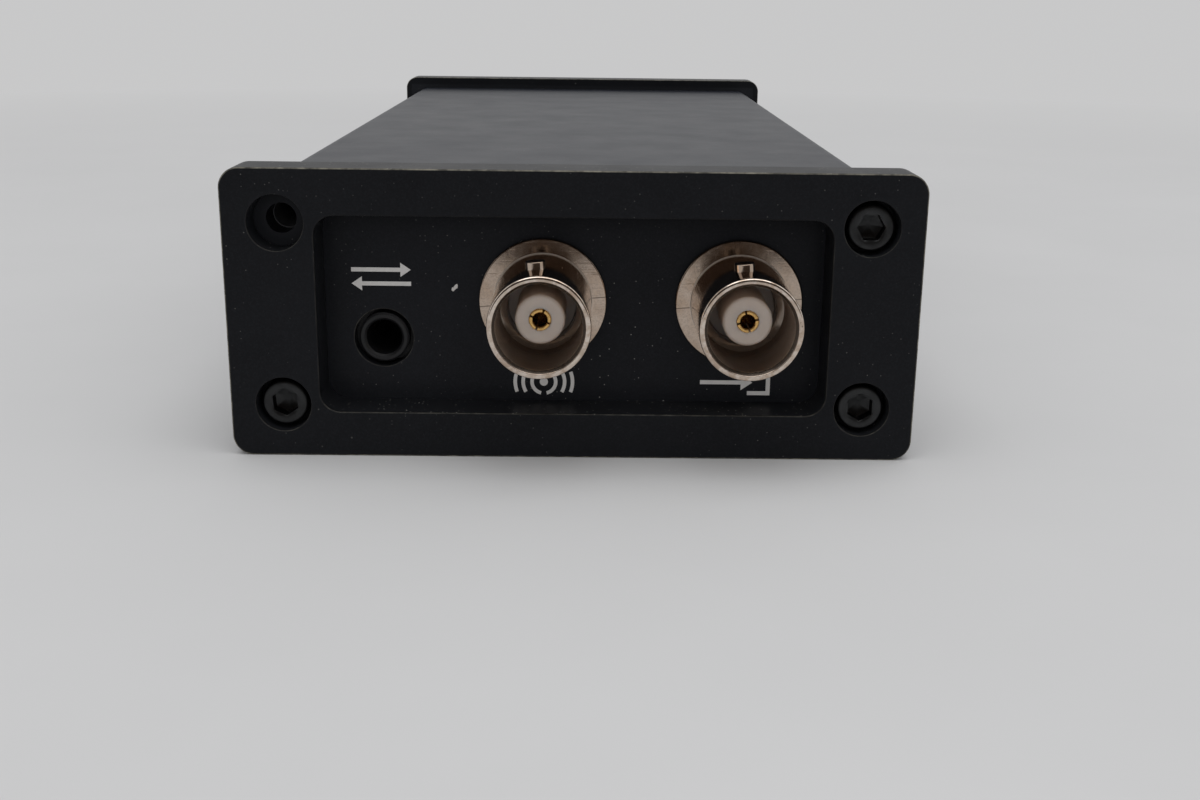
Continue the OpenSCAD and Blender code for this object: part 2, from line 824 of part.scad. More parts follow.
module relays() {
  color([0.88, 0.88, 0.84]) {
    for (x = [relay_col_1, relay_col_2])
      for (i = [0:relay_rows - 1])
        translate([x, field_y0 + (i + 0.5) * relay_pitch, board_top])
          relay();
    translate([strip_col_1, bay_y + 0.838 * strip_len, board_top])
      relay();
  }
}

module at_cores() {
  for (i = [0:2])
    translate([inductor_col, field_y0 + 4 * coil_pitch + (i + 0.5) * core_pitch, board_top + core_rise])
      children();
}

module toroid_cores() {
  color([0.75, 0.20, 0.12])
    at_cores()
      toroid(core_od, core_id, core_h);
}

module toroid_windings() {
  color([0.72, 0.42, 0.18])
    at_cores()
      tube(winding_path, core_normals(core_od, core_id, core_h, core_turns, wire_off), wire_r, 6);
}

module air_coils() {
  color([0.72, 0.42, 0.18])
    for (i = [0:3])
      translate([inductor_col, field_y0 + (i + 0.5) * coil_pitch, board_top + coil_rise])
        tube(air_path, coil_normals(coil_r, coil_turns), coil_wire_r, 6);
}

module at_couplers() {
  rise = small_h / 2 + wire_reach + 0.05;
  for (i = [0:1])
    translate([coupler_col, field_y0 + (i + 0.5) * coupler_pitch, board_top + rise])
      children();
}

module coupler_cores() {
  color([0.25, 0.25, 0.26])
    at_couplers()
      toroid(small_od, small_id, small_h);
}

module coupler_windings() {
  color([0.70, 0.38, 0.15])
    at_couplers()
      tube(small_path, core_normals(small_od, small_id, small_h, small_turns, wire_off), wire_r, 6);
}

module tuning_capacitors() {
  color([0.70, 0.55, 0.35])
    for (i = [0:relay_rows - 1])
      translate([capacitor_col, field_y0 + (i + 0.5) * relay_pitch, board_top])
        translate([-capacitor_w / 2, -capacitor_l / 2, 0])
          cube([capacitor_w, capacitor_l, capacitor_h]);
}

module relay_drivers() {
  color([0.10, 0.10, 0.10]) {
    for (i = [0:1])
      translate([side_col, field_y0 + (0.5 + 0.26 * i) * field_len, board_top])
        chip(driver_l, driver_w, driver_h, 9);
    translate([strip_col_1, bay_y + 0.588 * strip_len, board_top])
      chip(strip_driver_l, driver_w, driver_h, 9);
  }
}

module microcontroller() {
  color([0.10, 0.10, 0.10])
    translate([strip_col_1, bay_y + 0.23 * strip_len, board_top])
      chip(micro_l, micro_w, micro_h, 14);
}

module crystal() {
  color([0.78, 0.78, 0.78])
    translate([strip_col_2, bay_y + 0.13 * strip_len, board_top + crystal_h / 2])
      extrude_y(-crystal_l / 2, crystal_l)
        rounded_rect(crystal_w, crystal_h, crystal_r);
}

module voltage_regulator() {
  color([0.10, 0.10, 0.10])
    translate([strip_col_2, bay_y + 0.36 * strip_len, board_top])
      chip(regulator_l, regulator_w, regulator_h, 3);
}

module electrolytic_capacitors() {
  color([0.15, 0.17, 0.30])
    for (i = [0:1])
      translate([strip_col_2, bay_y + (0.56 + 0.2 * i) * strip_len, board_top])
        union() {
          cylinder(d = can_d, h = can_h);
          translate([0, 0, can_h - can_top_h])
            cylinder(d = can_top_d, h = 2 * can_top_h);
        }
}

// Controls at the front end

module tune_switch_body() {
  color([0.12, 0.12, 0.12])
    difference() {
      translate([button_x - switch_half, switch_y0, board_top])
        cube([2 * switch_half, switch_len, switch_h]);
      cylinder_y(button_x, switch_y1 - 2, axis_z, stem_d + 2 * slide, 3);
      cylinder_y(button_x, spring_y0, axis_z, chamber_d, chamber_len);
    }
}

module tune_switch_spring() {
  color([0.75, 0.75, 0.76])
    translate([button_x, spring_y0 + spring_wire_r + 0.03, axis_z])
      tube(return_path, spring_normals(spring_turns), spring_wire_r, 6);
}

module tune_button() {
  cap_r = button_d / 2;
  color([0.30, 0.30, 0.31])
    union() {
      turned_y(button_x, cap_y0, axis_z)
        polygon([[0, 0], [cap_r, 0], [cap_r, cap_y1 - cap_y0 - 0.3], [cap_r - 0.3, cap_y1 - cap_y0],
          [0, cap_y1 - cap_y0]]);
      cylinder_y(button_x, collar_y1 - 0.5, axis_z, stem_d, cap_y0 - collar_y1 + 1);
      cylinder_y(button_x, collar_y1 - collar_t, axis_z, collar_d, collar_t);
    }
}

module status_light_holders() {
  color([0.08, 0.08, 0.08])
    for (i = [0:2])
      difference() {
        translate([light_x0 + i * light_pitch - holder_w / 2, switch_y1 - holder_len, board_top])
          cube([holder_w, holder_len, holder_h]);
        cylinder_y(light_x0 + i * light_pitch, switch_y1 - 4, axis_z, light_d + 2 * snug, 5);
      }
}

module status_lights() {
  color([0.85, 0.85, 0.80])
    for (i = [0:2])
      union() {
        cylinder_y(light_x0 + i * light_pitch, switch_y1 - 4 + snug, axis_z, light_d, panel_t + 4.4);
        translate([light_x0 + i * light_pitch, switch_y1 + panel_t + 0.4 + snug, axis_z])
          sphere(d = light_d);
      }
}

// Battery

module at_terminal(side) {
  translate([battery_x + side * terminal_dx, battery_y0 - terminal_h, battery_mid_z])
    children();
}

module battery() {
  color([0.45, 0.46, 0.48])
    union() {
      translate([battery_x, 0, battery_mid_z])
        extrude_y(battery_y0, battery_len)
          rounded_rect(battery_w, battery_h, 2);
      at_terminal(-1)
        cylinder_y(0, 0, 0, terminal_d_1, terminal_h + 0.5);
      at_terminal(1)
        cylinder_y(0, 0, 0, terminal_d_2, terminal_h + 0.5);
    }
}

module battery_snap() {
  color([0.08, 0.08, 0.08])
    difference() {
      translate([battery_x, 0, battery_mid_z])
        extrude_y(snap_y0, snap_t)
          rounded_rect(snap_w, snap_h, snap_h / 4);
      at_terminal(-1)
        cylinder_y(0, -0.1, 0, terminal_d_1 + 0.1, 5);
      at_terminal(1)
        cylinder_y(0, -0.1, 0, terminal_d_2 + 0.1, 5);
    }
}

module battery_lead(x) {
  translate([0, battery_pad_y, 0])
    mirror([0, 1, 0])
      bent_lead(x, battery_pad_y - snap_y0, 0, battery_mid_z, board_top);
}

module positive_lead() {
  color([0.70, 0.08, 0.06])
    battery_lead(battery_x - snap_lead_dx);
}

module negative_lead() {
  color([0.05, 0.05, 0.05])
    battery_lead(battery_x + snap_lead_dx);
}

module battery_pads() {
  color([0.20, 0.20, 0.21])
    translate([battery_x - battery_w / 2 + 1, battery_y0 + 3, 0]) {
      translate([0, 0, floor_z])
        cube([battery_w - 3, battery_len - 6, pad_t]);
      translate([0, 0, battery_z + battery_h])
        cube([battery_w - 3, battery_len - 6, ceiling_z - battery_z - battery_h]);
    }
}

case_extrusion();
rear_bezel();
rear_panel();
rear_screws();
front_bezel();
front_panel();
front_screws();
antenna_jack_shell();
antenna_jack_insulator();
antenna_jack_contact();
radio_jack_shell();
radio_jack_insulator();
radio_jack_contact();
jack_lock_washers();
jack_nuts();
jack_leads();
control_jack_body();
control_jack_contacts();
main_board();
relays();
toroid_cores();
toroid_windings();
air_coils();
coupler_cores();
coupler_windings();
tuning_capacitors();
relay_drivers();
microcontroller();
crystal();
voltage_regulator();
electrolytic_capacitors();
tune_switch_body();
tune_switch_spring();
tune_button();
status_light_holders();
status_lights();
battery();
battery_snap();
positive_lead();
negative_lead();
battery_pads();
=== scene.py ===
import bpy, bmesh, json, math
from mathutils import Matrix, Vector
from mathutils.geometry import tessellate_polygon


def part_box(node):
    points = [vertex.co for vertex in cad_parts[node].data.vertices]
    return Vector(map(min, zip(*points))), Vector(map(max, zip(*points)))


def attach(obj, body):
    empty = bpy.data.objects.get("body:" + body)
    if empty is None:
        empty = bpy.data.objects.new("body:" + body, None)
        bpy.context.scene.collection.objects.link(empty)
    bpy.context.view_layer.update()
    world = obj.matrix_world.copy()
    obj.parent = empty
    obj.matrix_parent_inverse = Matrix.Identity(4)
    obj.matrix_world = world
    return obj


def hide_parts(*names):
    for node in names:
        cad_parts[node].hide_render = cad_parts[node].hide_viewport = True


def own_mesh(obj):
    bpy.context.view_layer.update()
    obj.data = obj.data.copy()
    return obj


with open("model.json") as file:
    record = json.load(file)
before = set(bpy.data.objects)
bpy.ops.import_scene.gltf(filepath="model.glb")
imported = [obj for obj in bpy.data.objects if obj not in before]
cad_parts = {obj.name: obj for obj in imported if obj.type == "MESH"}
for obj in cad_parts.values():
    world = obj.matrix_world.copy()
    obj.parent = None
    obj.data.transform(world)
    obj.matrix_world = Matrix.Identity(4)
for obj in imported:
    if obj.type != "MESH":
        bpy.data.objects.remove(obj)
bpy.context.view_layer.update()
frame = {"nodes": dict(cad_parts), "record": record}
nodes = frame["nodes"]
scene = bpy.context.scene
scene.view_settings.view_transform = "Standard"

# Camera, from a fit to the photograph's edges

CAM_AT = (0.001326, -0.204068, 0.04454)
CAM_TILT, CAM_TURN, CAM_ROLL = 16.083, -0.562, 0.697
CAM_LENS, CAM_SENSOR = 42.6075, 36.0


def rotation(tilt, turn, roll):
    """Turn about the camera's down axis, then tilt about its right axis, then roll about its view axis"""
    return Matrix.Rotation(roll, 3, "Z") @ Matrix.Rotation(tilt, 3, "X") @ Matrix.Rotation(turn, 3, "Y")


# Rows are the camera's right, down and forward axes, before and after it is turned
base = Matrix(((1, 0, 0), (0, 0, -1), (0, 1, 0)))
look = rotation(math.radians(CAM_TILT), math.radians(CAM_TURN), math.radians(CAM_ROLL)) @ base
cam_data = bpy.data.cameras.new("camera")
cam_data.sensor_width = CAM_SENSOR
cam_data.lens = CAM_LENS
cam_data.clip_start = 0.01
cam_data.clip_end = 50.0
cam = bpy.data.objects.new("camera", cam_data)
scene.collection.objects.link(cam)
axes = Matrix((look[0], -look[1], -look[2])).transposed().to_4x4()
cam.matrix_world = Matrix.Translation(CAM_AT) @ axes
scene.camera = cam

# Places and sizes in millimetres. Those of whole CAD nodes come from the frame, the others follow the
# part's source. Blender's own unit is the metre.

MM = 0.001
X, Y, Z = 0, 1, 2


def corners(node):
    """A CAD node's lower and upper corner"""
    return [[round(c / MM, 4) for c in corner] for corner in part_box(node)]


def middle(node):
    lo, hi = corners(node)
    return [(a + b) / 2 for a, b in zip(lo, hi)]


def extent(node):
    lo, hi = corners(node)
    return [b - a for a, b in zip(lo, hi)]


# End bezels, case and panels
REAR_Y, PANEL_Y = [corner[Y] for corner in corners("rear_bezel")]
CASE_Y0, CASE_Y1 = [corner[Y] for corner in corners("case_extrusion")]
FRONT_Y = corners("front_bezel")[1][Y]
BEZEL_W, BEZEL_T, BEZEL_H = extent("rear_bezel")
CASE_W, CASE_H = [extent("case_extrusion")[k] for k in (X, Z)]
MID_Z = middle("rear_bezel")[Z]
PANEL_T = CASE_Y0 - PANEL_Y
BEZEL_CORNER, CASE_CORNER = 2.0, 1.5
WINDOW_W, WINDOW_H, WINDOW_CORNER = 49.5, 19.3, 2.0
JACK_HOLE_R, CTRL_HOLE_R, BUTTON_HOLE_R, LIGHT_HOLE_R = 4.775, 2.95, 3.3, 1.65
LIGHT_D = extent("status_lights")[Z]
LIGHT_PITCH = (extent("status_lights")[X] - LIGHT_D) / 2
LIGHTS_X = [middle("status_lights")[X] + k * LIGHT_PITCH for k in (-1, 0, 1)]

# Screws and their holes, with depths from the bezel's face
SCREW_PLACES = ((1, 1), (-1, 1), (1, -1), (-1, -1))
SCREW_X, SCREW_DZ = 28.35, 8.93
SCREW_HOLE_R, SEAT_R, SEAT_DEPTH, TAP_R = 1.475, 2.7, 3.2, 1.5
HEAD_R, HEAD_TOP, HEAD_EDGE = 2.325, 0.70, 0.40
HEAD_FLAT_R, KEY_MOUTH_R = 1.90, 1.46
KEY_AF, KEY_DEPTH, SHANK_R, SHANK_END = 2.4, 2.1, 1.38, 12.2

# Coaxial jacks, with distances along them from the rim. A lug has its own radius, and a reach from the axis.
ANT_X, JACK_Z = [middle("antenna_jack_shell")[k] for k in (X, Z)]
RADIO_X = middle("radio_jack_shell")[X]
RIM_Y = corners("antenna_jack_shell")[0][Y]
BARREL_R, BORE_R, NECK_R, FLANGE_R, FLANGE_T = 4.825, 4.05, 4.725, 6.325, 0.8
MOUTH, SHOULDER, SHELL_END = 0.42, 8.27, 17.5
LUG_R, LUG_REACH, LUG_AT, LUG_TURN = 0.95, 5.5, 4.2, -5.0
NOSE_R, NOSE_AT, INSULATOR_END, FIT = 2.35, 3.6, 18.7, 0.02
COLLAR_R, COLLAR_AT, COLLAR_END, TAIL_R = 3.32, 10.3, 15.3, 2.65
PIN_R, PIN_END, CONTACT_R, CONTACT_END = 0.675, 9.6, 1.05, 22.3
SLOT_ANGLE, SLOT_END, CUP_R, CUP_END = 6.5, 7.6, 0.62, 20.3

# Control jack, tune button and board
CTRL_X, CTRL_Z = [middle("control_jack_body")[k] for k in (X, Z)]
BUTTON_X, AXIS_Z = [middle("tune_switch_spring")[k] for k in (X, Z)]
BUTTON_Y = corners("tune_button")[1][Y]
BOARD_TOP = corners("main_board")[1][Z]

# Node tools for materials

class Nodes:
    """A material with short calls that add nodes to it"""
    def __init__(self, name):
        self.m = bpy.data.materials.new(name)
        self.m.use_nodes = True
        self.t = self.m.node_tree
        self.bsdf = self.t.nodes["Principled BSDF"]
        co = self.t.nodes.new("ShaderNodeTexCoord")
        self.co = co.outputs["Object"]

    def link(self, a, b):
        self.t.links.new(a, b)

    def node(self, kind, **props):
        n = self.t.nodes.new(kind)
        for k, v in props.items():
            setattr(n, k, v)
        return n

    def mapped(self, scale):
        n = self.node("ShaderNodeMapping")
        n.inputs["Scale"].default_value = scale
        self.link(self.co, n.inputs["Vector"])
        return n.outputs["Vector"]

    def noise(self, scale, detail, rough, vector=None):
        n = self.node("ShaderNodeTexNoise")
        n.inputs["Scale"].default_value = scale
        n.inputs["Detail"].default_value = detail
        n.inputs["Roughness"].default_value = rough
        self.link(vector if vector is not None else self.co, n.inputs["Vector"])
        return n.outputs["Fac"]

    def voronoi(self, scale, vector=None, feature="F1", randomness=1.0):
        n = self.node("ShaderNodeTexVoronoi", feature=feature)
        n.inputs["Scale"].default_value = scale
        n.inputs["Randomness"].default_value = randomness
        self.link(vector if vector is not None else self.co, n.inputs["Vector"])
        return n

    def remap(self, v, a, b, c=0.0, d=1.0):
        n = self.node("ShaderNodeMapRange")
        for k, x in zip(("From Min", "From Max", "To Min", "To Max"), (a, b, c, d)):
            n.inputs[k].default_value = x
        self.link(v, n.inputs["Value"])
        return n.outputs["Result"]

    def math(self, op, a, b=None):
        n = self.node("ShaderNodeMath", operation=op)
        for i, x in enumerate((a, b)):
            if x is None:
                continue
            if isinstance(x, (int, float)):
                n.inputs[i].default_value = x
            else:
                self.link(x, n.inputs[i])
        return n.outputs[0]

    def mul(self, a, b):
        return self.math("MULTIPLY", a, b)

    def add(self, a, b):
        return self.math("ADD", a, b)

    def sub(self, a, b):
        return self.math("SUBTRACT", a, b)

    def most(self, a, b):
        return self.math("MAXIMUM", a, b)

    def size(self, a):
        return self.math("ABSOLUTE", a)

    def mix(self, fac, a, b):
        n = self.node("ShaderNodeMix", data_type="RGBA")
        self.link(fac, n.inputs[0])
        for i, x in ((6, a), (7, b)):
            if isinstance(x, tuple):
                n.inputs[i].default_value = (*x, 1.0)
            else:
                self.link(x, n.inputs[i])
        return n.outputs[2]

    def bump(self, height, strength, distance):
        n = self.node("ShaderNodeBump")
        n.inputs["Strength"].default_value = strength
        n.inputs["Distance"].default_value = distance
        self.link(height, n.inputs["Height"])
        return n.outputs["Normal"]

    def attribute(self, name):
        n = self.node("ShaderNodeAttribute", attribute_name=name)
        return n.outputs["Fac"]

    def axis(self, k):
        n = self.node("ShaderNodeSeparateXYZ")
        self.link(self.co, n.inputs[0])
        return n.outputs[k]

    def set(self, **sockets):
        names = {"color": "Base Color", "rough": "Roughness", "metal": "Metallic", "normal": "Normal",
                 "spec": "Specular IOR Level", "sss": "Subsurface Weight", "sss_scale": "Subsurface Scale",
                 "trans": "Transmission Weight", "sheen": "Sheen Weight"}
        for k, v in sockets.items():
            s = self.bsdf.inputs[names[k]]
            if isinstance(v, (int, float)):
                s.default_value = v
            else:
                self.link(v, s)

    def specks(self, scale, size, share):
        """1 in a few small round dots, 0 elsewhere"""
        v = self.voronoi(scale)
        near = self.remap(v.outputs["Distance"], size, size * 0.6)
        sep = self.node("ShaderNodeSeparateColor")
        self.link(v.outputs["Color"], sep.inputs[0])
        some = self.math("LESS_THAN", sep.outputs[0], share)
        some = self.mul(some, self.math("POWER", sep.outputs[1], 1.5))
        return self.mul(near, some)


def jack_radius(n):
    """Distance from the nearer jack's axis, and the same with the place along it"""
    flat = n.mapped((1.0, 0.0, 1.0))
    parts = []
    for x in (ANT_X, RADIO_X):
        d = n.node("ShaderNodeVectorMath", operation="DISTANCE")
        d.inputs[1].default_value = (x * MM, 0.0, JACK_Z * MM)
        n.link(flat, d.inputs[0])
        parts.append(d.outputs["Value"])
    r = n.math("MINIMUM", *parts)
    both = n.node("ShaderNodeCombineXYZ")
    n.link(r, both.inputs[0])
    n.link(n.axis(Y), both.inputs[1])
    return r, both.outputs[0]


def spot(n, x, z, w, h, turn):
    """1 in one small uneven oval on an end face, 0 elsewhere"""
    m = n.node("ShaderNodeMapping", vector_type="TEXTURE")
    m.inputs["Location"].default_value = (x * MM, PANEL_Y * MM, z * MM)
    m.inputs["Rotation"].default_value = (0.0, math.radians(turn), 0.0)
    m.inputs["Scale"].default_value = (w * MM, 5.0 * MM, h * MM)
    n.link(n.co, m.inputs["Vector"])
    d = n.node("ShaderNodeVectorMath", operation="LENGTH")
    n.link(m.outputs["Vector"], d.inputs[0])
    uneven = n.add(d.outputs["Value"], n.remap(n.noise(3200.0, 3.0, 0.6), 0.3, 0.7, -0.35, 0.35))
    return n.remap(uneven, 1.0, 0.75)


def shade(c, k):
    return tuple(x * k for x in c)


def tint(c, *k):
    return tuple(x * y for x, y in zip(c, k))


def plain(name, color, rough, vary=0.12, scale=900.0, bump=0.1, spec=0.5):
    """A finish with blotches of colour and gloss and a fine grain"""
    n = Nodes(name)
    blotch = n.noise(scale, 5.0, 0.6)
    grain = n.noise(5000.0, 3.0, 0.6)
    both = n.add(n.mul(blotch, 0.6), n.mul(grain, 0.4))
    n.set(color=n.mix(n.remap(both, 0.3, 0.7), shade(color, 1 - vary), shade(color, 1 + vary)),
          rough=n.remap(blotch, 0.3, 0.7, max(rough - 0.06, 0.05), min(rough + 0.06, 1.0)),
          normal=n.bump(grain, bump, 0.05 * MM), spec=spec)
    return n.m


def bezel_hollows(n):
    """Masks of what lies within a bezel's outer edges, of the hollow sides there, and of the screw
    counterbores' sides; the last two take painted light
    """
    side_lip, top_lip, seat_gap, soft = 1.0, 1.3, 0.75, 0.1
    half = (FRONT_Y - REAR_Y) / 2
    depth = n.size(n.sub(n.axis(Y), (REAR_Y + half) * MM))
    across = n.size(n.axis(X))
    height = n.size(n.sub(n.axis(Z), MID_Z * MM))

    def within(v, limit):
        return n.remap(v, (limit + soft) * MM, (limit - soft) * MM)

    inner = n.mul(within(across, BEZEL_W / 2 - side_lip), within(height, BEZEL_H / 2 - top_lip))
    painted_light_walls = n.mul(n.remap(depth, (half - 0.2) * MM, (half - 0.5) * MM), inner)
    painted_light_seats = n.mul(painted_light_walls, n.sub(1.0, within(across, WINDOW_W / 2 + seat_gap)))
    return inner, painted_light_walls, painted_light_seats


def tapped_holes(n):
    """1 inside the case's screw holes, 0 elsewhere"""
    sideways = n.sub(n.size(n.axis(X)), SCREW_X * MM)
    height = n.sub(n.size(n.sub(n.axis(Z), MID_Z * MM)), SCREW_DZ * MM)
    away = n.math("SQRT", n.add(n.mul(sideways, sideways), n.mul(height, height)))
    return n.remap(away, (TAP_R + 0.02) * MM, (TAP_R - 0.01) * MM)


# The pale edge colour is partly rubbed metal and partly a painted highlight
WORN_AND_HIGHLIT, DUST, CHIP, BARE = (0.24, 0.225, 0.185), (0.46, 0.45, 0.42), (0.55, 0.53, 0.51), (0.10, 0.10, 0.105)
FLECKS = ((-11.80, 16.08, 0.30, 0.19, -45.0), (-12.02, 15.84, 0.22, 0.20, 0.0))


def anodised(name, color, rough, grain, spec, dust, low=False, fleck=False, hollows=False, tapped=False):
    """Black anodised metal: fine blasted grain, paler rounded edges that are partly rubbed and partly a
    painted highlight, painted light in the bezel's hollows, and scattered dust
    """
    n = Nodes(name)
    blotch = n.noise(160.0, 5.0, 0.6)
    fine = n.noise(grain, 3.0, 0.7)
    coarse = n.noise(grain * 0.28, 2.0, 0.6)
    col = n.mix(n.remap(blotch, 0.3, 0.7), shade(color, 0.90), shade(color, 1.10))
    col = n.mix(n.remap(fine, 0.45, 0.75, 0.0, 0.5), col, shade(color, 1.9))
    facing = n.node("ShaderNodeSeparateXYZ")
    n.link(n.node("ShaderNodeNewGeometry").outputs["Normal"], facing.inputs[0])
    up = facing.outputs[2]
    # Paler rounded edges: partly rubbed, partly a painted highlight
    edge = n.mul(n.attribute("wear_and_highlight"), n.remap(n.noise(900.0, 4.0, 0.7), 0.40, 0.70, 0.25, 1.0))
    if hollows:
        # Painted highlight: the paler edges inside the window and the counterbores fade where they do not
        # face up, as if lit from above
        inner, painted_light_walls, painted_light_seats = bezel_hollows(n)
        painted_highlight_fade = n.mul(inner, n.remap(up, -0.2, 0.6, 0.85, 0.0))
        edge = n.mul(edge, n.sub(1.0, painted_highlight_fade))
        # Painted light: the sides inside the window and the counterbores are lightened, as if more light
        # reached into these hollows
        col = n.mix(painted_light_walls, col, shade(color, 1.5))
        col = n.mix(painted_light_seats, col, shade(color, 1.7))
    if tapped:
        col = n.mix(tapped_holes(n), col, BARE)
    # The paler edge colour is partly rubbed metal and partly a painted highlight
    col = n.mix(n.mul(edge, 0.6), col, WORN_AND_HIGHLIT)
    cloud = n.remap(n.noise(70.0, 3.0, 0.6), 0.42, 0.62, 0.10, 1.0)
    if low:
        cloud = n.mul(cloud, n.remap(n.axis(Z), 5.0 * MM, 22.0 * MM, 1.0, 0.3))
    specks = n.most(n.specks(2300.0, 0.16, dust), n.specks(640.0, 0.075, dust * 0.8))
    specks = n.mul(specks, cloud)
    lying = n.mul(n.specks(1900.0, 0.17, 4.0 * dust), n.remap(up, 0.6, 0.95, 0.0, 0.8))
    specks = n.most(specks, lying)
    col = n.mix(specks, col, DUST)
    r = n.remap(blotch, 0.3, 0.7, rough - 0.02, rough + 0.03)
    r = n.add(r, n.mul(specks, 0.4))
    if fleck:
        col = n.mix(n.most(*[spot(n, *place) for place in FLECKS]), col, CHIP)
    height = n.add(n.mul(fine, 0.6), n.mul(coarse, 0.4))
    n.set(color=col, rough=r, spec=spec, normal=n.bump(height, 0.22, 0.03 * MM))
    return n.m


def parting_line(n):
    """1 along a thin line across each jack, square to its lugs"""
    t = math.radians(LUG_TURN)
    reach = FLANGE_R + 0.375
    lines = []
    for x in (ANT_X, RADIO_X):
        m = n.node("ShaderNodeMapping", vector_type="TEXTURE")
        m.inputs["Location"].default_value = (x * MM, 0.0, JACK_Z * MM)
        m.inputs["Rotation"].default_value = (0.0, t, 0.0)
        n.link(n.co, m.inputs["Vector"])
        part = n.node("ShaderNodeSeparateXYZ")
        n.link(m.outputs["Vector"], part.inputs[0])
        thin = n.remap(n.size(part.outputs[2]), 0.07 * MM, 0.03 * MM)
        near = n.remap(n.size(part.outputs[0]), (reach + 0.1) * MM, (reach - 0.1) * MM)
        lines.append(n.mul(thin, near))
    return n.most(*lines)


PIT, GLINT, SEAM = (0.12, 0.085, 0.06), (0.95, 0.93, 0.90), (0.08, 0.06, 0.05)
# The rim colour is its rubbed face; the foot colour is a painted highlight
WORN_RIM, PAINTED_FOOT_HIGHLIGHT = (0.76, 0.67, 0.59), (0.64, 0.55, 0.47)


def nickel(name, color):
    """Bright plating over turned metal, with grain, pits, handling scratches, warm tarnish, a painted
    highlight at the barrel's foot and painted shade in the bore
    """
    n = Nodes(name)
    r, turned = jack_radius(n)
    place = n.axis(Y)
    foot = PANEL_Y - FLANGE_T

    def along(a, b, *to):
        return n.remap(place, a * MM, b * MM, *to)

    flange = along(foot - 0.06, foot - 0.02)
    front = along(RIM_Y + 0.34, RIM_Y + 0.22)
    tarnish = n.noise(420.0, 5.0, 0.65)
    cloud = n.noise(1500.0, 4.0, 0.6)
    grain = n.noise(6500.0, 2.0, 0.7)
    col = n.mix(n.remap(tarnish, 0.38, 0.70), color, tint(color, 0.80, 0.72, 0.64))
    col = n.mix(n.mul(n.remap(grain, 0.42, 0.66, 0.0, 0.5), flange), col, shade(color, 0.55))
    pits = n.most(n.specks(2600.0, 0.20, 0.35), n.specks(1300.0, 0.11, 0.30))
    col = n.mix(n.mul(pits, 0.7), col, PIT)
    col = n.mix(n.mul(n.specks(2100.0, 0.13, 0.16), 0.8), col, GLINT)
    a = n.noise(300.0, 2.0, 0.5, n.mapped((1.0, 9.0, 26.0)))
    b = n.noise(300.0, 2.0, 0.5, n.mapped((26.0, 7.0, 1.0)))
    lines = n.most(n.remap(a, 0.63, 0.69), n.remap(b, 0.65, 0.71))
    lines = n.mul(lines, n.most(flange, front))
    col = n.mix(n.mul(parting_line(n), n.mul(flange, 0.75)), col, SEAM)
    # Painted highlight: a pale, less metallic line at the foot of the barrel; and the rim's rubbed face
    corner = n.remap(n.size(n.sub(r, (BARREL_R + 0.04) * MM)), 0.08 * MM, 0.04 * MM)
    corner = n.mul(corner, along(foot - 0.22, foot - 0.16))
    col = n.mix(n.mul(front, n.remap(cloud, 0.42, 0.60, 0.05, 0.85)), col, WORN_RIM)
    col = n.mix(corner, col, PAINTED_FOOT_HIGHLIGHT)
    rough = n.remap(cloud, 0.3, 0.7, 0.05, 0.13)
    rough = n.add(rough, n.mul(lines, 0.10))
    rough = n.add(rough, n.mul(flange, 0.06))
    # Bore, its mouth's chamfer and the shoulder deep inside, with painted shade: the bore darker and
    # browner, the chamfer nearly black, the shoulder darker
    bore = n.remap(r, (BORE_R + 0.29) * MM, (BORE_R + 0.25) * MM)
    edge = n.mul(bore, along(RIM_Y + MOUTH + 0.04, RIM_Y + MOUTH - 0.02))
    step = n.mul(bore, along(RIM_Y + SHOULDER - 0.17, RIM_Y + SHOULDER - 0.07))
    # Painted shade in the bore, at the mouth's chamfer and at the shoulder
    col = n.mix(n.mul(bore, 0.6), col, tint(color, 0.95, 0.86, 0.78))
    col = n.mix(n.mul(edge, 0.95), col, shade(color, 0.16))
    col = n.mix(n.mul(step, 0.9), col, shade(color, 0.50))
    rough = n.add(rough, n.mul(n.sub(bore, step), 0.12))
    # The plating is less metallic deep inside and at the bore's two sides
    dull = along(RIM_Y + 1.5, RIM_Y + 6.0, 0.05, 0.12)
    off = n.size(n.sub(n.axis(Z), JACK_Z * MM))
    dull = n.add(dull, n.remap(off, 3.9 * MM, 1.0 * MM, 0.0, 0.34))
    metallic = n.sub(n.remap(corner, 0.0, 1.0, 1.0, 0.55), n.mul(bore, dull))
    h = n.sub(n.mul(cloud, 0.35), n.mul(lines, 0.25))
    h = n.sub(h, n.mul(pits, 0.8))
    lug = n.sub(n.remap(r, (BARREL_R + 0.02) * MM, (BARREL_R + 0.06) * MM), flange)
    grooves = n.mul(n.noise(4200.0, 2.0, 0.6, turned), n.remap(lug, 0.0, 1.0, 0.22, 0.0))
    h = n.add(h, grooves)
    n.set(color=col, rough=rough, metal=metallic, normal=n.bump(h, 0.18, 0.03 * MM))
    return n.m


def gold(name, color):
    """Gold plating, with painted shade inside the socket"""
    n = Nodes(name)
    blotch = n.noise(2200.0, 4.0, 0.6)
    r, turned = jack_radius(n)
    inside = n.remap(r, (PIN_R + 0.025) * MM, (PIN_R - 0.015) * MM)
    col = n.mix(n.remap(blotch, 0.35, 0.7), color, shade(color, 0.75))
    # Painted shade inside the socket
    col = n.mix(n.mul(inside, 0.8), col, (0.10, 0.055, 0.02))
    n.set(color=col, rough=n.remap(blotch, 0.3, 0.7, 0.20, 0.32), metal=1.0,
          normal=n.bump(n.noise(5200.0, 2.0, 0.6, turned), 0.10, 0.02 * MM))
    return n.m


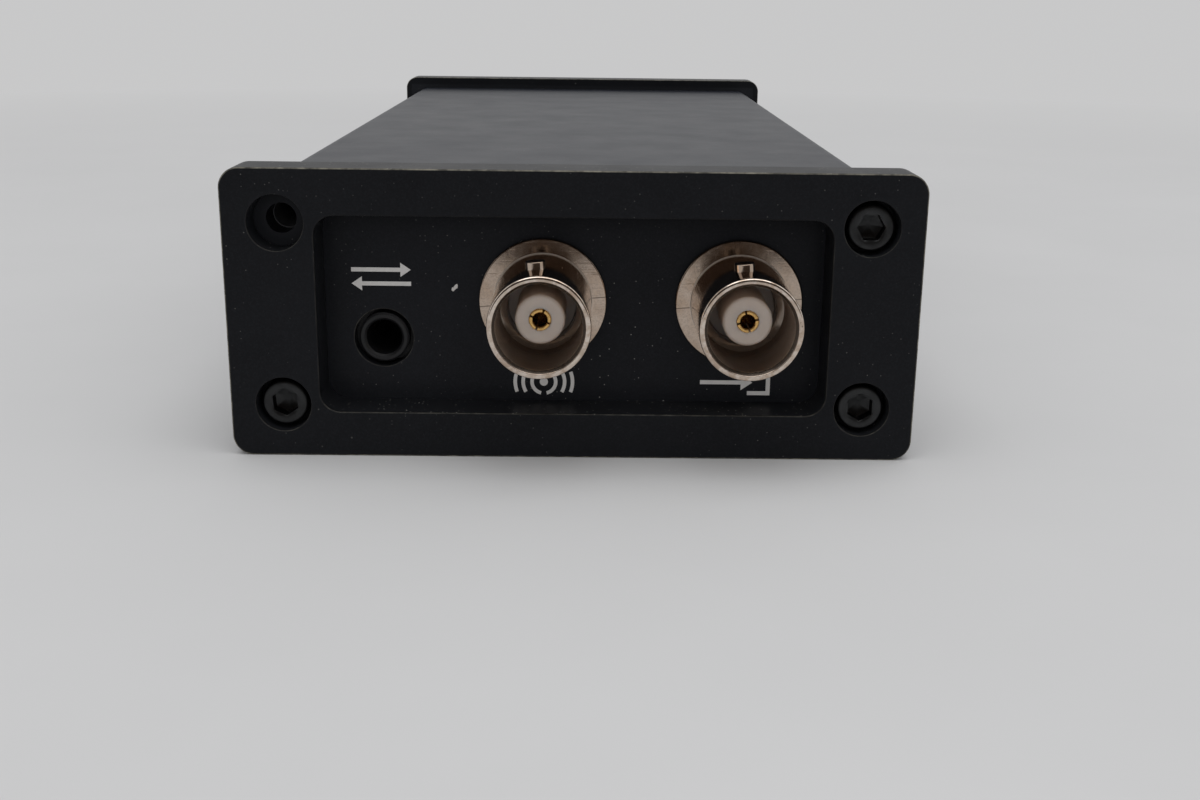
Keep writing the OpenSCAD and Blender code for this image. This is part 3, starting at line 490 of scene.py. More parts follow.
def metal(name, color, rough, scratch=0.10):
    """Plain metal with fine brushed lines and blotches"""
    n = Nodes(name)
    blotch = n.noise(700.0, 4.0, 0.6)
    lines = n.noise(3500.0, 3.0, 0.6, n.mapped((1.0, 0.12, 1.0)))
    col = n.mix(n.remap(blotch, 0.35, 0.7), color, shade(color, 0.78))
    r = n.add(n.remap(blotch, 0.3, 0.7, rough - 0.04, rough + 0.05),
              n.mul(n.remap(lines, 0.5, 0.75), scratch))
    n.set(color=col, rough=r, metal=1.0, normal=n.bump(lines, 0.12, 0.02 * MM))
    return n.m


def insulator_white(name):
    """White resin that lets some light in; its tan tone is partly painted warm light and shade"""
    n = Nodes(name)
    blotch = n.noise(600.0, 4.0, 0.6)
    rings = n.noise(2600.0, 3.0, 0.6)
    # The tan, darker tone is partly the resin's slight warmth and partly painted warm light and shade
    col = n.mix(n.remap(blotch, 0.35, 0.7), (0.66, 0.54, 0.465), (0.63, 0.51, 0.435))
    n.set(color=col, rough=n.remap(rings, 0.3, 0.7, 0.38, 0.5), spec=0.4,
          normal=n.bump(rings, 0.06, 0.02 * MM), sss=0.85, sss_scale=4.2 * MM)
    n.bsdf.inputs["Subsurface Radius"].default_value = (1.0, 0.85, 0.72)
    return n.m


def board_green(name):
    """Solder mask with copper paths under it and small plated holes"""
    n = Nodes(name)
    cells = n.voronoi(210.0, n.mapped((1.0, 1.0, 0.0)), "F1", 0.25)
    paths = n.voronoi(330.0, n.mapped((1.0, 0.45, 0.0)), "DISTANCE_TO_EDGE", 0.55)
    track = n.remap(paths.outputs["Distance"], 0.05, 0.09, 1.0, 0.0)
    hole = n.remap(cells.outputs["Distance"], 0.07, 0.09, 1.0, 0.0)
    blotch = n.noise(500.0, 3.0, 0.6)
    col = n.mix(n.remap(blotch, 0.35, 0.65), (0.016, 0.105, 0.045), (0.022, 0.135, 0.058))
    col = n.mix(n.mul(track, 0.6), col, (0.04, 0.22, 0.09))
    col = n.mix(hole, col, (0.55, 0.52, 0.44))
    height = n.sub(n.mul(track, 0.5), hole)
    n.set(color=col, rough=n.remap(blotch, 0.3, 0.7, 0.28, 0.4), normal=n.bump(height, 0.3, 0.04 * MM))
    return n.m


def foam_grey(name):
    """Open foam with fine dark cells"""
    n = Nodes(name)
    cells = n.voronoi(2400.0)
    blotch = n.noise(500.0, 3.0, 0.6)
    d = cells.outputs["Distance"]
    col = n.mix(n.remap(d, 0.1, 0.7), (0.012, 0.012, 0.013), (0.05, 0.05, 0.052))
    n.set(color=col, rough=n.remap(blotch, 0.3, 0.7, 0.88, 1.0), normal=n.bump(d, 0.7, 0.15 * MM),
          sheen=0.15, spec=0.2)
    return n.m


def lens_clear(name, color):
    """Diffused clear plastic"""
    n = Nodes(name)
    cloud = n.noise(1200.0, 3.0, 0.6)
    col = n.mix(n.remap(cloud, 0.35, 0.7), color, shade(color, 0.86))
    n.set(color=col, rough=n.remap(cloud, 0.3, 0.7, 0.16, 0.26), normal=n.bump(cloud, 0.05, 0.02 * MM),
          trans=0.55, sss=0.2, sss_scale=1.0 * MM)
    return n.m


CASE_BLACK, BEZEL_BLACK = (0.0100, 0.0120, 0.0185), (0.0088, 0.0093, 0.0108)
PANEL_BLACK = (0.0111, 0.0117, 0.0138)

MATS = {
    "black_anodised_case": anodised("black_anodised_case", CASE_BLACK, 0.34, 5200.0, 0.150, 0.06,
                                    tapped=True),
    "black_anodised_bezel": anodised("black_anodised_bezel", BEZEL_BLACK, 0.34, 5200.0, 0.065, 0.20,
                                     hollows=True),
    "black_panel": anodised("black_panel", PANEL_BLACK, 0.30, 6500.0, 0.06, 0.22, low=True, fleck=True),
    "black_oxide_steel": metal("black_oxide_steel", (0.050, 0.051, 0.052), 0.38, 0.08),
    "nickel_plating": nickel("nickel_plating", (0.555, 0.455, 0.375)),
    "white_insulator": insulator_white("white_insulator"),
    "gold_plating": gold("gold_plating", (0.80, 0.50, 0.18)),
    "bright_steel": metal("bright_steel", (0.60, 0.60, 0.61), 0.26),
    "tinned_wire": metal("tinned_wire", (0.66, 0.66, 0.64), 0.32),
    "black_plastic": plain("black_plastic", (0.010, 0.010, 0.011), 0.42, bump=0.15, spec=0.36),
    "spring_brass": metal("spring_brass", (0.70, 0.60, 0.36), 0.26),
    "green_board": board_green("green_board"),
    "pale_plastic": plain("pale_plastic", (0.72, 0.71, 0.66), 0.40, 0.05),
    "red_core": plain("red_core", (0.40, 0.055, 0.03), 0.45, 0.18, bump=0.35),
    "enamelled_wire": metal("enamelled_wire", (0.62, 0.26, 0.085), 0.24, 0.05),
    "grey_ferrite": plain("grey_ferrite", (0.055, 0.055, 0.06), 0.55, 0.25, bump=0.4),
    "tan_ceramic": plain("tan_ceramic", (0.42, 0.27, 0.13), 0.48, 0.12),
    "blue_sleeve": plain("blue_sleeve", (0.012, 0.018, 0.075), 0.30, 0.10),
    "grey_plastic": plain("grey_plastic", (0.055, 0.055, 0.058), 0.40, 0.08, bump=0.18),
    "clear_lens": lens_clear("clear_lens", (0.74, 0.76, 0.70)),
    "battery_wrap": plain("battery_wrap", (0.12, 0.125, 0.135), 0.30, 0.10),
    "red_wire": plain("red_wire", (0.36, 0.018, 0.014), 0.42, 0.10),
    "black_wire": plain("black_wire", (0.012, 0.012, 0.012), 0.42, 0.15),
    "foam": foam_grey("foam"),
    "print": plain("print", (0.60, 0.585, 0.57), 0.55, 0.08, 1400.0, 0.2),
}

for part in frame["record"]["subparts"]:
    ob = nodes[part["node"]]
    ob.data.materials.clear()
    ob.data.materials.append(MATS[part["material_slot"]])

# Mesh tools, in millimetres

def unit(i, n):
    """Cosine and sine of step i of n around a circle"""
    a = 2 * math.pi * i / n
    return math.cos(a), math.sin(a)


def arc_fillet(points, radii, n=5):
    """A closed outline with its corners rounded, each by its own radius"""
    out = []
    for i, (p, r) in enumerate(zip(points, radii)):
        p = Vector(p)
        a = Vector(points[i - 1]) - p
        b = Vector(points[(i + 1) % len(points)]) - p
        if r <= 0 or a.length < 1e-9 or b.length < 1e-9:
            out.append(tuple(p))
            continue
        ua, ub = a.normalized(), b.normalized()
        half = math.acos(max(-1, min(1, ua.dot(ub)))) / 2
        if half > math.radians(89):
            out.append(tuple(p))
            continue
        d = min(r / math.tan(half), 0.49 * a.length, 0.49 * b.length)
        r = d * math.tan(half)
        c = p + (ua + ub).normalized() * (r / math.sin(half))
        s, e = p + ua * d - c, p + ub * d - c
        ang = s.angle_signed(e)
        for k in range(n + 1):
            v = Matrix.Rotation(-ang * k / n, 2) @ s
            out.append(tuple(c + v))
    return out


class Shape:
    """Vertices, faces and, for each vertex, a value for edge rubbing and painted edge highlight"""
    def __init__(self):
        self.v, self.f, self.w = [], [], []

    def ring(self, points, wear_and_highlight=0.0):
        k = len(self.v)
        self.v += [tuple(p) for p in points]
        self.w += [wear_and_highlight] * len(points)
        return list(range(k, k + len(points)))

    def join(self, a, b, closed=True):
        n = len(a)
        for i in range(n if closed else n - 1):
            j = (i + 1) % n
            self.f.append((a[i], a[j], b[j], b[i]))

    def cap(self, ring):
        self.f.append(tuple(ring))

    def fan(self, ring, point):
        k = self.ring([point])[0]
        n = len(ring)
        for i in range(n):
            self.f.append((ring[i], ring[(i + 1) % n], k))

    def fill(self, loops):
        """A flat area square to Y: the first loop is its outline, the others are its holes"""
        indices = [i for loop in loops for i in loop]
        flat = [[Vector((self.v[i][X], self.v[i][Z], 0)) for i in loop] for loop in loops]
        self.f += [tuple(indices[i] for i in tri) for tri in tessellate_polygon(flat)]

    def add(self, other):
        k = len(self.v)
        self.v += other.v
        self.w += other.w
        self.f += [tuple(i + k for i in f) for f in other.f]

    def make(self, name, slot, body="housing", replaces=(), sharp=40.0, weighted=True):
        me = bpy.data.meshes.new(name)
        me.from_pydata([tuple(c * MM for c in p) for p in self.v], [], self.f)
        at = me.attributes.new("wear_and_highlight", "FLOAT", "POINT")
        at.data.foreach_set("value", self.w)
        bm = bmesh.new()
        bm.from_mesh(me)
        bmesh.ops.recalc_face_normals(bm, faces=bm.faces)
        bm.to_mesh(me)
        bm.free()
        me.shade_smooth()
        me.set_sharp_from_angle(angle=math.radians(sharp))
        ob = bpy.data.objects.new(name, me)
        scene.collection.objects.link(ob)
        me.materials.append(MATS[slot])
        if weighted:
            wn = ob.modifiers.new("normals", "WEIGHTED_NORMAL")
            wn.keep_sharp = True
            wn.weight = 80
        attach(ob, body)
        if replaces:
            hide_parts(*replaces)
        return ob


def rounded_rect(cx, cz, w, h, r, n=10):
    """An outline that can be drawn a distance d further out"""
    def gen(d=0.0):
        rr, ww, hh = max(r + d, 0.02), w / 2 + d, h / 2 + d
        pts = []
        for k, (sx, sz) in enumerate(((1, 1), (-1, 1), (-1, -1), (1, -1))):
            for i in range(n + 1):
                a = math.radians(90 * k + 90 * i / n)
                pts.append((cx + sx * (ww - rr) + rr * math.cos(a),
                            cz + sz * (hh - rr) + rr * math.sin(a)))
        return pts
    return gen


def circle(cx, cz, r, n=64):
    """The same for a circle"""
    def gen(d=0.0):
        steps = [unit(i, n) for i in range(n)]
        return [(cx + (r + d) * c, cz + (r + d) * s) for c, s in steps]
    return gen


def at_y(loop, y):
    return [(x, y, z) for x, z in loop]


def soft_rings(shape, gen, y_a, y_b, ea, eb, hole, n=4, edge_wear_and_highlight=1.0):
    """Rings of a wall from face y_a to face y_b with rounded edges"""
    s = 1 if hole else -1
    way = 1 if y_b > y_a else -1
    rings = []
    for y, inward, e, order in ((y_a, way, ea, range(n + 1)), (y_b, -way, eb, range(n, -1, -1))):
        for k in order if e > 0 else (n,):
            t = math.radians(90 * k / n)
            # The rounding rings carry the value for edge rubbing and painted edge highlight
            wear_and_highlight = edge_wear_and_highlight if e > 0 and 0 < k < n else 0.0
            loop = gen(s * e * (1 - math.sin(t)))
            rings.append(shape.ring(at_y(loop, y + inward * e * (1 - math.cos(t))), wear_and_highlight))
    for a, b in zip(rings, rings[1:]):
        shape.join(a, b)
    return rings


def plate(outer, holes, y_a, y_b, ea, eb):
    """A plate whose outer face is at y_a, with rounded edges. A hole is (outline, edge), or for a stepped
    one (outline, edge, depth, inner outline)."""
    sh = Shape()
    # The outer edges get a stronger value than the holes' edges: partly rubbing, partly a painted highlight
    o = soft_rings(sh, outer, y_a, y_b, ea, eb, False, edge_wear_and_highlight=1.6)
    front, back = [o[0]], [o[-1]]
    way = 1 if y_b > y_a else -1
    for h in holes:
        if len(h) == 2:
            r = soft_rings(sh, h[0], y_a, y_b, h[1], 0.0, True, edge_wear_and_highlight=0.4)
            front.append(r[0])
            back.append(r[-1])
        else:
            gen, e, depth, inner = h
            r = soft_rings(sh, gen, y_a, y_a + way * depth, e, 0.0, True, edge_wear_and_highlight=0.4)
            s = soft_rings(sh, inner, y_a + way * depth, y_b, 0.0, 0.0, True)
            sh.join(r[-1], s[0])
            front.append(r[0])
            back.append(s[-1])
    sh.fill(front)
    sh.fill(back)
    return sh


def lathe(profile, at, n=96, closed=True, arc=None, way=1):
    """Turns an outline of (radius, distance behind the front) about an axis along Y. The front faces -Y,
    or +Y where way is -1."""
    sh = Shape()
    x, y, z = at
    a0, a1 = arc if arc else (0.0, 360.0)
    count = n if arc is None else n + 1
    rings = []
    for r, s in profile:
        if r < 1e-6:
            rings.append(sh.ring([(x, y + way * s, z)]))
            continue
        pts = []
        for i in range(count):
            t = math.radians(a0 + (a1 - a0) * i / n)
            pts.append((x + r * math.cos(t), y + way * s, z + r * math.sin(t)))
        rings.append(sh.ring(pts))
    for a, b in zip(rings, rings[1:] + rings[:1] if closed else rings[1:]):
        if len(a) == 1 and len(b) == 1:
            continue
        if len(a) == 1 or len(b) == 1:
            one, many = (a, b) if len(a) == 1 else (b, a)
            m = len(many)
            for i in range(m if arc is None else m - 1):
                sh.f.append((many[i], many[(i + 1) % m], one[0]))
            continue
        sh.join(a, b, arc is None)
    if arc:
        sh.cap([r[0] for r in rings])
        sh.cap([r[-1] for r in rings])
    return sh


def sweep(path, r, sides=10):
    """A round wire along a smooth path, with rounded ends"""
    sh = Shape()
    points = [Vector(p) for p in path]
    last = len(points) - 1
    ways = [(points[min(i + 1, last)] - points[max(i - 1, 0)]).normalized() for i in range(last + 1)]
    steps = [unit(j, sides) for j in range(sides)]
    out = ways[0].orthogonal().normalized()
    rings = []
    for point, way in zip(points, ways):
        out = (out - out.dot(way) * way).normalized()
        across = way.cross(out)
        rings.append(sh.ring([point + r * (c * out + s * across) for c, s in steps]))
    for a, b in zip(rings, rings[1:]):
        sh.join(a, b)
    for i, side in ((0, -1), (last, 1)):
        tip = ways[i] * (side * 0.5 * r)
        mid = sh.ring([points[i] + tip + (Vector(sh.v[k]) - points[i]) * 0.7 for k in rings[i]])
        sh.join(rings[i], mid)
        sh.fan(mid, points[i] + tip * 1.4)
    return sh


def smooth_path(points, n=5):
    """A path through the points with rounded bends"""
    P = [Vector(p) for p in points]
    P = [P[0] * 2 - P[1]] + P + [P[-1] * 2 - P[-2]]
    out = []
    for i in range(1, len(P) - 2):
        a, b, c, d = P[i - 1:i + 3]
        for k in range(n):
            t = k / n
            out.append(0.5 * ((2 * b) + (c - a) * t + (2 * a - 5 * b + 4 * c - d) * t * t
                              + (3 * b - a - 3 * c + d) * t ** 3))
    out.append(P[-2])
    return out


# Enclosure

def screw_holes(places=SCREW_PLACES):
    return [(sx * SCREW_X, MID_Z + sz * SCREW_DZ) for sx, sz in places]


def bezel(name, y_a, y_b, node):
    holes = [(rounded_rect(0, MID_Z, WINDOW_W, WINDOW_H, WINDOW_CORNER), 0.14)]
    for x, z in screw_holes():
        holes.append((circle(x, z, SEAT_R), 0.10, SEAT_DEPTH, circle(x, z, SCREW_HOLE_R)))
    sh = plate(rounded_rect(0, MID_Z, BEZEL_W, BEZEL_H, BEZEL_CORNER), holes, y_a, y_b, 0.15, 0.12)
    return sh.make(name, "black_anodised_bezel", replaces=(node,))


bezel("rear_frame", REAR_Y, PANEL_Y, "rear_bezel")
bezel("front_frame", FRONT_Y, FRONT_Y - BEZEL_T, "front_bezel")


def end_panel(name, y_a, y_b, node, extra):
    holes = [(circle(x, z, SCREW_HOLE_R, 32), 0.0) for x, z in screw_holes()] + extra
    sh = plate(rounded_rect(0, MID_Z, CASE_W, CASE_H, CASE_CORNER), holes, y_a, y_b, 0.05, 0.05)
    return sh.make(name, "black_panel", replaces=(node,))


end_panel("rear_plate", PANEL_Y, CASE_Y0, "rear_panel",
          [(circle(ANT_X, JACK_Z, JACK_HOLE_R), 0.05), (circle(RADIO_X, JACK_Z, JACK_HOLE_R), 0.05),
           (circle(CTRL_X, CTRL_Z, CTRL_HOLE_R), 0.10)])
end_panel("front_plate", CASE_Y1 + PANEL_T, CASE_Y1, "front_panel",
          [(circle(BUTTON_X, AXIS_Z, BUTTON_HOLE_R), 0.10)]
          + [(circle(x, AXIS_Z, LIGHT_HOLE_R, 40), 0.07) for x in LIGHTS_X])


def socket_screw(x, z, face_y, way, turn, n=48):
    """Socket head screw: hexagonal key socket, rounded head and plain shank"""
    sh = Shape()

    def ring(radius, s, wear_and_highlight=0.0):
        steps = [unit(i, n) for i in range(n)]
        return sh.ring([(x + radius * c, face_y + way * s, z + radius * d) for c, d in steps], wear_and_highlight)

    def hexagon(af, s):
        pts = []
        for i in range(n):
            a = 2 * math.pi * i / n
            b = (a - turn) % (math.pi / 3) - math.pi / 6
            r = af / 2 / math.cos(b)
            pts.append((x + r * math.cos(a), face_y + way * s, z + r * math.sin(a)))
        return sh.ring(pts)

    rings = [hexagon(KEY_AF - 0.04, KEY_DEPTH), hexagon(KEY_AF, HEAD_TOP + 0.10),
             ring(KEY_MOUTH_R - 0.03, HEAD_TOP + 0.01, 0.6), ring(KEY_MOUTH_R, HEAD_TOP),
             ring(HEAD_FLAT_R, HEAD_TOP)]
    for k in range(1, 7):
        t = math.radians(15 * k)
        radius = HEAD_R - HEAD_EDGE * (1 - math.sin(t))
        rings.append(ring(radius, HEAD_TOP + HEAD_EDGE * (1 - math.cos(t)), 0.3))
    rings += [ring(HEAD_R, SEAT_DEPTH - 0.1), ring(HEAD_R - 0.05, SEAT_DEPTH), ring(SHANK_R, SEAT_DEPTH),
              ring(SHANK_R, SHANK_END - 0.3), ring(SHANK_R - 0.33, SHANK_END)]
    for a, b in zip(rings, rings[1:]):
        sh.join(a, b)
    sh.fan(rings[0], (x, face_y + way * (KEY_DEPTH + 0.6), z))
    sh.fan(rings[-1], (x, face_y + way * SHANK_END, z))
    return sh


def screws(name, node, face_y, way, places, turns):
    sh = Shape()
    for (x, z), t in zip(screw_holes(places), turns):
        sh.add(socket_screw(x, z, face_y, way, math.radians(t)))
    return sh.make(name, "black_oxide_steel", replaces=(node,), sharp=32)


screws("rear_socket_screws", "rear_screws", REAR_Y, 1, ((1, 1), (1, -1), (-1, -1)), (0, 30, 35))
screws("front_socket_screws", "front_screws", FRONT_Y, -1, SCREW_PLACES, (8, 25, 47, 33))

# Coaxial jacks

def add_lug(sh, x, turned):
    """A bayonet lug: a round peg on the barrel, filleted at its foot and rounded at its end"""
    b = math.radians(turned)
    up, side = Vector((math.sin(b), 0, math.cos(b))), Vector((math.cos(b), 0, -math.sin(b)))
    deep = Vector((0, 1, 0))
    mid = Vector((x, RIM_Y + LUG_AT, JACK_Z))

    def ring(radius, height, n=40):
        steps = [unit(i, n) for i in range(n)]
        return sh.ring([mid + up * height + radius * (c * side + s * deep) for c, s in steps])

    rows = [(LUG_R + 0.05, BARREL_R - 0.10)]
    for k in range(1, 5):
        t = math.radians(90 * k / 4)
        rows.append((LUG_R + 0.05 * (1 - math.sin(t)), BARREL_R - 0.02 - 0.05 * math.cos(t)))
    for k in range(6):
        t = math.radians(90 * k / 5)
        rows.append((LUG_R - 0.07 * (1 - math.cos(t)), LUG_REACH - 0.07 + 0.07 * math.sin(t)))
    rows += [(0.35, LUG_REACH), (0.22, LUG_REACH - 0.04)]
    rings = [ring(q, h) for q, h in rows]
    for p, q in zip(rings, rings[1:]):
        sh.join(p, q)
    sh.fan(rings[-1], mid + up * (LUG_REACH - 0.05))
    low = ring(LUG_R + 0.05, BARREL_R - 0.4)
    sh.join(low, rings[0])
    sh.fan(low, mid + up * (BARREL_R - 0.4))


def jack_shell(name, x, node):
    foot = PANEL_Y - RIM_Y
    profile = [(BORE_R + 0.30, 0), (BARREL_R, 0), (BARREL_R, foot - FLANGE_T), (FLANGE_R, foot - FLANGE_T),
               (FLANGE_R, foot), (NECK_R, foot), (NECK_R, SHELL_END), (TAIL_R, SHELL_END),
               (TAIL_R, COLLAR_END), (COLLAR_R, COLLAR_END), (COLLAR_R, SHOULDER + 0.13),
               (BORE_R, SHOULDER), (BORE_R, MOUTH)]
    radii = [0.08, 0.30, 0.12, 0.16, 0.08, 0.05, 0.15, 0.05, 0.05, 0.05, 0.06, 0.05, 0.2]
    sh = lathe(arc_fillet(profile, radii, 5), (x, RIM_Y, JACK_Z), 160)
    for a in (0, 180):
        add_lug(sh, x, a + LUG_TURN)
    return sh.make(name, "nickel_plating", replaces=(node,), sharp=30)


jack_shell("antenna_jack_barrel", ANT_X, "antenna_jack_shell")
jack_shell("radio_jack_barrel", RADIO_X, "radio_jack_shell")


def jack_insulator(name, x, node):
    hole, collar, tail, step = CONTACT_R + FIT, COLLAR_R - FIT, TAIL_R - FIT, COLLAR_END - FIT
    profile = [(hole, NOSE_AT), (NOSE_R, NOSE_AT), (NOSE_R, COLLAR_AT), (collar, COLLAR_AT), (collar, step),
               (tail, step), (tail, INSULATOR_END), (hole, INSULATOR_END)]
    radii = [0.05, 0.34, 0.1, 0.05, 0.05, 0.05, 0.1, 0.05]
    sh = lathe(arc_fillet(profile, radii, 5), (x, RIM_Y, JACK_Z), 96)
    return sh.make(name, "white_insulator", replaces=(node,), sharp=30)


jack_insulator("antenna_jack_core", ANT_X, "antenna_jack_insulator")
jack_insulator("radio_jack_core", RADIO_X, "radio_jack_insulator")


def jack_contact(name, x, node, turn):
    """Slotted socket: four fingers ahead of a plain stem with a solder cup"""
    sh = Shape()
    finger = arc_fillet([(PIN_R, NOSE_AT), (CONTACT_R, NOSE_AT), (CONTACT_R, SLOT_END), (PIN_R, SLOT_END)],
                        [0.12, 0.08, 0, 0], 4)
    for k in range(4):
        a = turn + 90 * k
        arc = (a + SLOT_ANGLE, a + 90 - SLOT_ANGLE)
        sh.add(lathe(finger, (x, RIM_Y, JACK_Z), 14, arc=arc))
    stem = [(PIN_R, SLOT_END), (CONTACT_R, SLOT_END), (CONTACT_R, CONTACT_END), (CUP_R, CONTACT_END),
            (CUP_R, CUP_END), (0.0, CUP_END), (0.0, PIN_END), (PIN_R, PIN_END)]
    sh.add(lathe(arc_fillet(stem, [0, 0, 0.08, 0.05, 0, 0, 0, 0], 3), (x, RIM_Y, JACK_Z), 56))
    return sh.make(name, "gold_plating", replaces=(node,), sharp=30)


jack_contact("antenna_jack_socket", ANT_X, "antenna_jack_contact", 68)
jack_contact("radio_jack_socket", RADIO_X, "radio_jack_contact", 13)

# Tune button

DISH_R, DISH_DEPTH, CAP_R, CAP_H = 2.45, 0.28, 3.0, 3.9
STEM_R, STEM_END, FOOT_R, FOOT_END = 1.6, 6.6, 2.2, 7.6
dish = [(DISH_R * k / 8, DISH_DEPTH * (1 - (k / 8) ** 2)) for k in range(9)]
rim = arc_fillet([(DISH_R, 0.0), (CAP_R, 0.0), (CAP_R, CAP_H), (STEM_R, CAP_H)], [0.05, 0.28, 0.08, 0.1], 6)
foot = [(STEM_R, STEM_END), (FOOT_R, STEM_END), (FOOT_R, FOOT_END), (0.0, FOOT_END)]
button = lathe(dish + rim + foot, (BUTTON_X, BUTTON_Y, AXIS_Z), closed=False, way=-1)
button.make("tune_cap", "grey_plastic", "button", ("tune_button",), sharp=32)

# Windings and spring. Air coils and then toroids fill a column on the board, and the couplers start another.

COLUMN_Y0, COLUMN_LEN, CORE_GAP = -50.0, 63.2, 0.9
WIRE_R, WIRE_GAP, WIRE_TAIL = 0.3, 0.48, 0.9
COIL_COUNT, TOROID_COUNT, COUPLER_COUNT = 4, 3, 2
COIL_PITCH, COUPLER_PITCH = 0.0886 * COLUMN_LEN, 0.18 * COLUMN_LEN
TOROID_Y0 = COLUMN_Y0 + COIL_COUNT * COIL_PITCH
TOROID_PITCH = (COLUMN_LEN - COIL_COUNT * COIL_PITCH) / TOROID_COUNT


def turn_points(w, h):
    """One turn of wire around a core's section"""
    g = WIRE_GAP
    return [(w / 2 + g, -h / 2), (w / 2 + g, h / 2), (w / 2, h / 2 + g), (-w / 2, h / 2 + g),
            (-w / 2 - g, h / 2), (-w / 2 - g, -h / 2), (-w / 2, -h / 2 - g), (w / 2, -h / 2 - g)]


def core_path(od, bore, h, turns):
    """The path of a winding that goes around most of a ring core"""
    w, mid, count = (od - bore) / 2, (od + bore) / 4, 8 * turns

    def point(p, i):
        a = math.radians(20 + 320 * i / count)
        return ((mid + p[0]) * math.cos(a), (mid + p[0]) * math.sin(a), p[1])

    one_turn = turn_points(w, h)
    pts = [point((w / 2 + WIRE_GAP, -h / 2 - WIRE_GAP - WIRE_R), 0)]
    pts += [point(one_turn[i % 8], i) for i in range(count)]
    pts += [point((w / 2 + WIRE_GAP + WIRE_TAIL, -h / 2 - WIRE_GAP), count)]
    return pts


def wound(name, node, centres, path, r):
    sh = Shape()
    for c in centres:
        sh.add(sweep([Vector(p) + Vector(c) for p in path], r))
    return sh.make(name, "enamelled_wire", replaces=(node,), sharp=60, weighted=False)


def core_column(cores, pitch):
    """Outer diameter of the ring cores in a column, and the column's place across the board"""
    od = pitch - 2 * (WIRE_GAP + WIRE_R) - CORE_GAP
    return od, corners(cores)[1][X] - od / 2


def core_windings(name, node, cores, y0, pitch, count, bore_share, turns):
    """Wire on a column of equal ring cores"""
    od, x = core_column(cores, pitch)
    centres = [(x, y0 + (i + 0.5) * pitch, middle(cores)[Z]) for i in range(count)]
    path = core_path(od, bore_share * od, extent(cores)[Z], turns)
    wound(name, node, centres, smooth_path(path), WIRE_R)


core_windings("toroid_wire", "toroid_windings", "toroid_cores", TOROID_Y0, TOROID_PITCH, TOROID_COUNT,
              bore_share=0.52, turns=10)
core_windings("coupler_wire", "coupler_windings", "coupler_cores", COLUMN_Y0, COUPLER_PITCH, COUPLER_COUNT,
              bore_share=0.55, turns=8)

COIL_GAP, COIL_WIRE_R, COIL_STEP, COIL_TURNS, COIL_SIDES = 1.1, 0.35, 1.25, 4, 32
COIL_X = core_column("toroid_cores", TOROID_PITCH)[1]
COIL_R = (COIL_PITCH - COIL_GAP) / 2 - COIL_WIRE_R
COIL_RISE = COIL_R + COIL_WIRE_R + 0.4
COIL_START = -COIL_TURNS * COIL_STEP / 2
COIL_STEPS = COIL_TURNS * COIL_SIDES + COIL_SIDES // 2
coil_low, coil_end = 0.05 - COIL_RISE, COIL_START + COIL_STEP * COIL_STEPS / COIL_SIDES
coil = [(COIL_START, -COIL_R, coil_low), (COIL_START, -COIL_R, coil_low * 0.5)]
for i in range(COIL_STEPS + 1):
    c, s = unit(i, COIL_SIDES)
    coil.append((COIL_START + COIL_STEP * i / COIL_SIDES, -COIL_R * c, COIL_R * s))
coil += [(coil_end, COIL_R, coil_low * 0.5), (coil_end, COIL_R, coil_low)]
coil_ys = [COLUMN_Y0 + (i + 0.5) * COIL_PITCH for i in range(COIL_COUNT)]
coil_places = [(COIL_X, y, BOARD_TOP + COIL_RISE) for y in coil_ys]
wound("air_coil_wire", "air_coils", coil_places, coil, COIL_WIRE_R)

# The spring's wire lies a little off its seat and off the button's foot
SPRING_Y0, SPRING_R, SPRING_WIRE_R, SPRING_OFF = 63.4, 1.6, 0.2, 0.03
SPRING_SIDES, SPRING_TURNS = 28, 5
SPRING_STEPS = SPRING_SIDES * SPRING_TURNS
SPRING_FIRST = SPRING_Y0 + SPRING_OFF + SPRING_WIRE_R
SPRING_RUN = corners("tune_button")[0][Y] - SPRING_OFF - SPRING_WIRE_R - SPRING_FIRST
helix = []
for i in range(SPRING_STEPS + 1):
    c, s = unit(i, SPRING_SIDES)
    y = SPRING_FIRST + SPRING_RUN * i / SPRING_STEPS
    helix.append((BUTTON_X + SPRING_R * c, y, AXIS_Z + SPRING_R * s))
spring = sweep(helix, SPRING_WIRE_R).make("tune_return_spring", "bright_steel",
                                          replaces=("tune_switch_spring",), sharp=60, weighted=False)
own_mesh(spring)

# Foam pads

def foam_pad(x0, x1, y0, y1, z0, z1, bulge):
    """A soft block with rounded edges whose sides swell a little between its two flat faces"""
    sh = Shape()
    cx, cy = (x0 + x1) / 2, (y0 + y1) / 2
    outline = rounded_rect(cx, cy, x1 - x0 - 2 * bulge, y1 - y0 - 2 * bulge, 1.0, 8)
    rows = 9
    rings = []
    for k in range(rows):
        t = k / (rows - 1)
        out = bulge * math.sin(math.pi * t) - 0.25 * (1 - min(1, 6 * min(t, 1 - t)))
        rings.append(sh.ring([(x, y, z0 + (z1 - z0) * t) for x, y in outline(out)]))
    for a, b in zip(rings, rings[1:]):
        sh.join(a, b)
    for ring in (rings[0], rings[-1]):
        points = [sh.v[i] for i in ring]
        inner = sh.ring([(cx + (x - cx) * 0.9, cy + (y - cy) * 0.94, z) for x, y, z in points])
        sh.join(ring, inner)
        sh.cap(inner)
    return sh


LOW_PAD, HIGH_PAD = (3.4, 4.4, 0.12), (21.9, 24.9, 0.25)
lo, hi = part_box("battery_pads")
sides = (lo.x / MM, hi.x / MM, lo.y / MM, hi.y / MM)
foam = foam_pad(*sides, *LOW_PAD)
foam.add(foam_pad(*sides, *HIGH_PAD))
pads = foam.make("battery_foam", "foam", replaces=("battery_pads",), sharp=50, weighted=False)

# Printed marks beside the jacks, as plain signs

